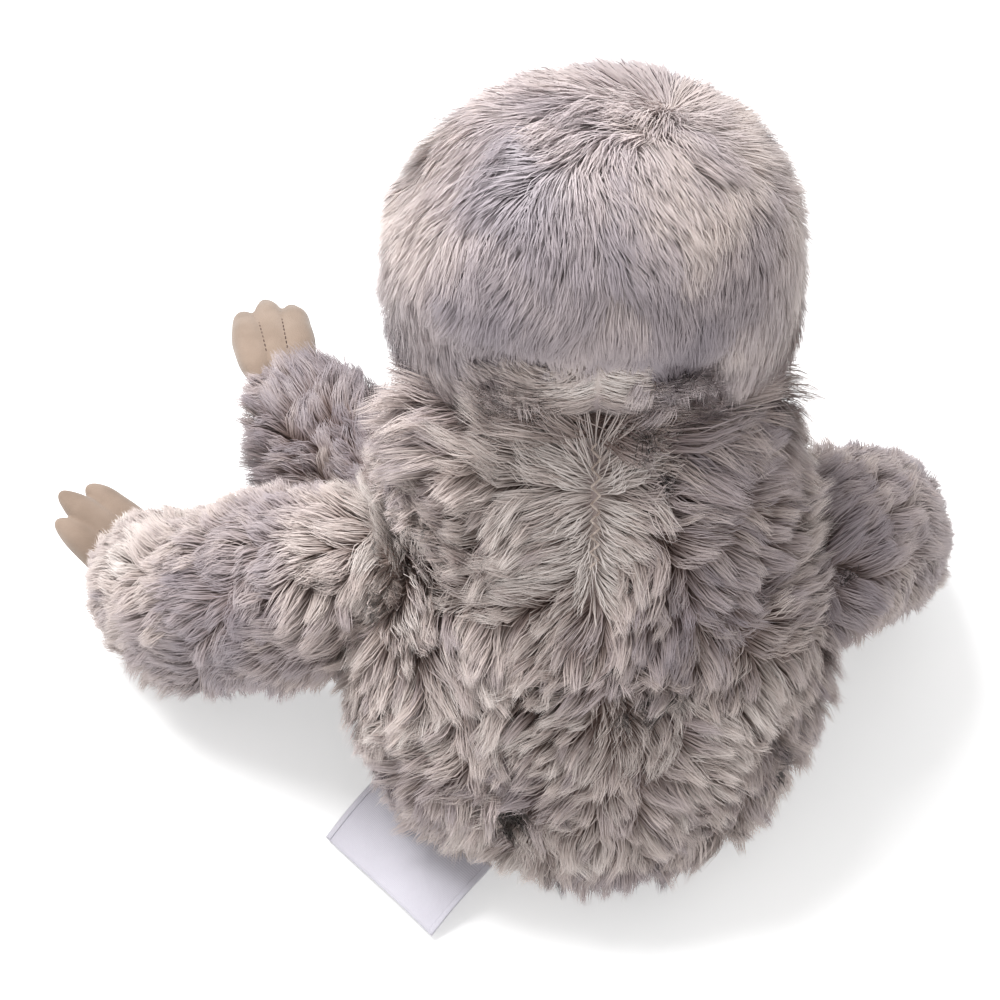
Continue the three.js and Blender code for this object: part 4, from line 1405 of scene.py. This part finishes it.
def label_surface():
    """Turns distances out from the label's root and along it into points, at a height over it."""
    bearing, place = math.radians(LABEL_BEARING_ANGLE), math.radians(LABEL_PLACE_ANGLE)
    outward = np.array([math.cos(bearing), math.sin(bearing), 0])
    sideways = np.array([-math.sin(bearing), math.cos(bearing), 0])
    share = (LABEL_ROOT_HEIGHT + REST_CUT) / (BODY_HEIGHT + REST_CUT)
    centre, _, _, wide, deep = body.ring(np.array(share), 0)
    reach = 1 / math.hypot(math.cos(place) / wide, math.sin(place) / deep)
    pivot = centre + reach * np.array([math.cos(place), math.sin(place), 0])
    slope = math.radians(LABEL_SLOPE_ANGLE)

    def at(out, aside, height):
        free = np.clip(out / LABEL_REACH, 0, 1)
        down = math.sin(slope) * out - LABEL_SAG * np.sin(np.pi * free)
        wave = np.sin(aside / LABEL_WIDTH * LABEL_WAVES + LABEL_WAVE_START) * free
        flat = pivot + outward * (math.cos(slope) * out)[..., None] + sideways * aside[..., None]
        flat[..., 2] += LABEL_RIPPLE * wave - down + height
        flat[..., 2] = np.maximum(flat[..., 2], FLOOR_GAP + height)
        return flat
    return at


def slab(at, aside_range, low, high, columns):
    """A thin closed sheet between two heights over the label's surface."""
    rows = LABEL_ROWS
    out, aside = np.meshgrid(np.linspace(-LABEL_TUCK, LABEL_REACH, rows + 1),
                             np.linspace(*aside_range, columns + 1), indexing="ij")
    top, under = at(out, aside, high).reshape(-1, 3), at(out, aside, low).reshape(-1, 3)
    quads = grid_quads(rows, columns + 1, closed=False)
    size = len(top)
    rim = np.concatenate([
        np.arange(columns + 1),
        np.arange(1, rows + 1) * (columns + 1) + columns,
        rows * (columns + 1) + np.arange(columns - 1, -1, -1),
        np.arange(rows - 1, 0, -1) * (columns + 1),
    ])
    after = np.roll(rim, -1)
    sides = np.stack([rim, after, after + size, rim + size], -1)
    return np.concatenate([top, under]), np.concatenate([quads, quads[:, ::-1] + size, sides])


label_at = label_surface()
half = LABEL_WIDTH / 2
label = plain_mesh("sewn_label_sheet",
                   *slab(label_at, (-half, half), 0, LABEL_THICKNESS, LABEL_COLUMNS),
                   "label_satin")
hems = joined([slab(label_at, ends, LABEL_THICKNESS, HEM_THICKNESS_SHARE * LABEL_THICKNESS,
                    HEM_COLUMNS)
               for ends in ((-half, -half + LABEL_HEM), (half - LABEL_HEM, half))])
hem = plain_mesh("sewn_label_hems", *hems, "label_satin")
declared(label, "label", "label_satin", "sewn_label")
declared(hem, "label", "label_satin")

# Closing stitches of the back seam
STITCH_SAMPLES = 12
STITCH_SIDES = 10
STITCH_PLIES = 2
STITCH_TWIST = 2600
STITCH_PHASE = 0.3
height = np.linspace(STITCH_START, STITCH_END, STITCH_SAMPLES * STITCH_COUNT + 1)
ring = body.ring((height + REST_CUT) / (BODY_HEIGHT + REST_CUT), STITCH_SINK)
turn = np.linspace(0, np.pi * STITCH_COUNT, len(height)) + STITCH_PHASE
swing = 2 * np.arcsin(np.sin(turn)) / np.pi
path = np.stack([STITCH_HALF_WIDTH * swing, ring[0][:, 1] + ring[4], height], -1)
seam_yarn = plain_mesh(
    "back_seam_yarn", *tube(path, STITCH_RADIUS, STITCH_SIDES, STITCH_PLIES, STITCH_TWIST),
    "pale_thread")
declared(seam_yarn, "torso", "pale_thread", "back_seam_thread")

# Fillings: each solid remeshed and pushed out of shape by lumps or pellets
FILLING_SMOOTHING = 4
LIMB_FILL = 0.7
LIMB_VOXEL = 0.0020
LUMP_HEIGHT = 0.0005
LUMP_DEPTH = 0.0004
PELLET_HEIGHT = 0.0004
PELLET_DEPTH = 0.0003
lumps = wave_field(seed=41, scale=0.012)
pellets = wave_field(seed=42, scale=0.0022, count=24)


def fibre_lumps(p):
    return LUMP_HEIGHT * lumps(p) - LUMP_DEPTH


def pellet_bumps(p):
    return PELLET_HEIGHT * pellets(p) - PELLET_DEPTH


def soft_filling(node, body_name, voxel, fill, push=fibre_lumps, slot="filling"):
    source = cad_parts[node]
    piece = bpy.data.objects.new(node + "_soft", source.data.copy())
    bpy.context.scene.collection.objects.link(piece)
    piece.matrix_world = source.matrix_world.copy()
    piece.data.materials.clear()
    piece.data.materials.append(looks[slot])
    pushed(remeshed(piece, voxel, FILLING_SMOOTHING), push)
    declared(piece, body_name, slot, node, fill=fill)


soft_filling("torso_stuffing", "torso", voxel=0.0022, fill=0.7)
soft_filling("pellet_bag", "torso", voxel=0.0014, fill=0.5, push=pellet_bumps,
             slot="bag_cloth")
soft_filling("head_stuffing", "head", voxel=0.0020, fill=0.8)
soft_filling("neck_stuffing", "neck", voxel=0.0016, fill=0.8)
for name in limbs:
    soft_filling(name + "_stuffing", name, LIMB_VOXEL, LIMB_FILL)

# Floor, lights and camera
FLOOR_SPAN = 6.0
FLOOR_TONE = 0.9
FLOOR_GLOW = 0.45
SKY_LIGHT = 0.65
WHITE = (1, 1, 1, 1)
KEY_PLACE = (0.40, -0.20, 1.14)
KEY_TARGET = (0, 0, 0.1)
KEY_SIZE = 0.6
KEY_POWER = 15


def aimed(made, place, target):
    """Puts a light or camera in its place, turned to its target."""
    made.location = place
    made.rotation_euler = (Vector(target) - Vector(place)).to_track_quat("-Z", "Y").to_euler()
    bpy.context.scene.collection.objects.link(made)
    return made


floor_mesh = bpy.data.meshes.new("floor")
corners = [(x * FLOOR_SPAN, y * FLOOR_SPAN, 0) for x, y in ((-1, -1), (1, -1), (1, 1), (-1, 1))]
floor_mesh.from_pydata(corners, [], [(0, 1, 2, 3)])
floor_material = new_material("floor", grey(FLOOR_TONE), roughness=0.9, specular=0.0)
nodes, links = floor_material.node_tree.nodes, floor_material.node_tree.links
shader = nodes["Principled BSDF"]
glow = nodes.new("ShaderNodeMath")
glow.operation = "MULTIPLY"
glow.inputs[1].default_value = FLOOR_GLOW
links.new(nodes.new("ShaderNodeLightPath").outputs["Is Camera Ray"], glow.inputs[0])
shader.inputs["Emission Color"].default_value = WHITE
links.new(glow.outputs[0], shader.inputs["Emission Strength"])
link("floor", floor_mesh, floor_material)

world = bpy.data.worlds.new("world")
bpy.context.scene.world = world
world.use_nodes = True
nodes, links = world.node_tree.nodes, world.node_tree.links
nodes["Background"].inputs["Color"].default_value = WHITE
seen = nodes.new("ShaderNodeMapRange")
seen.inputs["To Min"].default_value = SKY_LIGHT
links.new(nodes.new("ShaderNodeLightPath").outputs["Is Camera Ray"], seen.inputs["Value"])
links.new(seen.outputs[0], nodes["Background"].inputs["Strength"])

key = bpy.data.lights.new("key", "AREA")
key.shape = "DISK"
key.size = KEY_SIZE
key.energy = KEY_POWER
aimed(bpy.data.objects.new("key", key), KEY_PLACE, KEY_TARGET)

CAMERA_PLACE = (0.0233, 0.4455, 0.6574)
CAMERA_TARGET = (0.0233, -0.0173, 0.1059)
LENS = 99.8
SENSOR_WIDTH = 36
camera = bpy.data.cameras.new("camera")
camera.lens = LENS
camera.sensor_width = SENSOR_WIDTH
bpy.context.scene.camera = aimed(bpy.data.objects.new("camera", camera), CAMERA_PLACE,
                                 CAMERA_TARGET)
bpy.context.scene.view_settings.view_transform = "Standard"
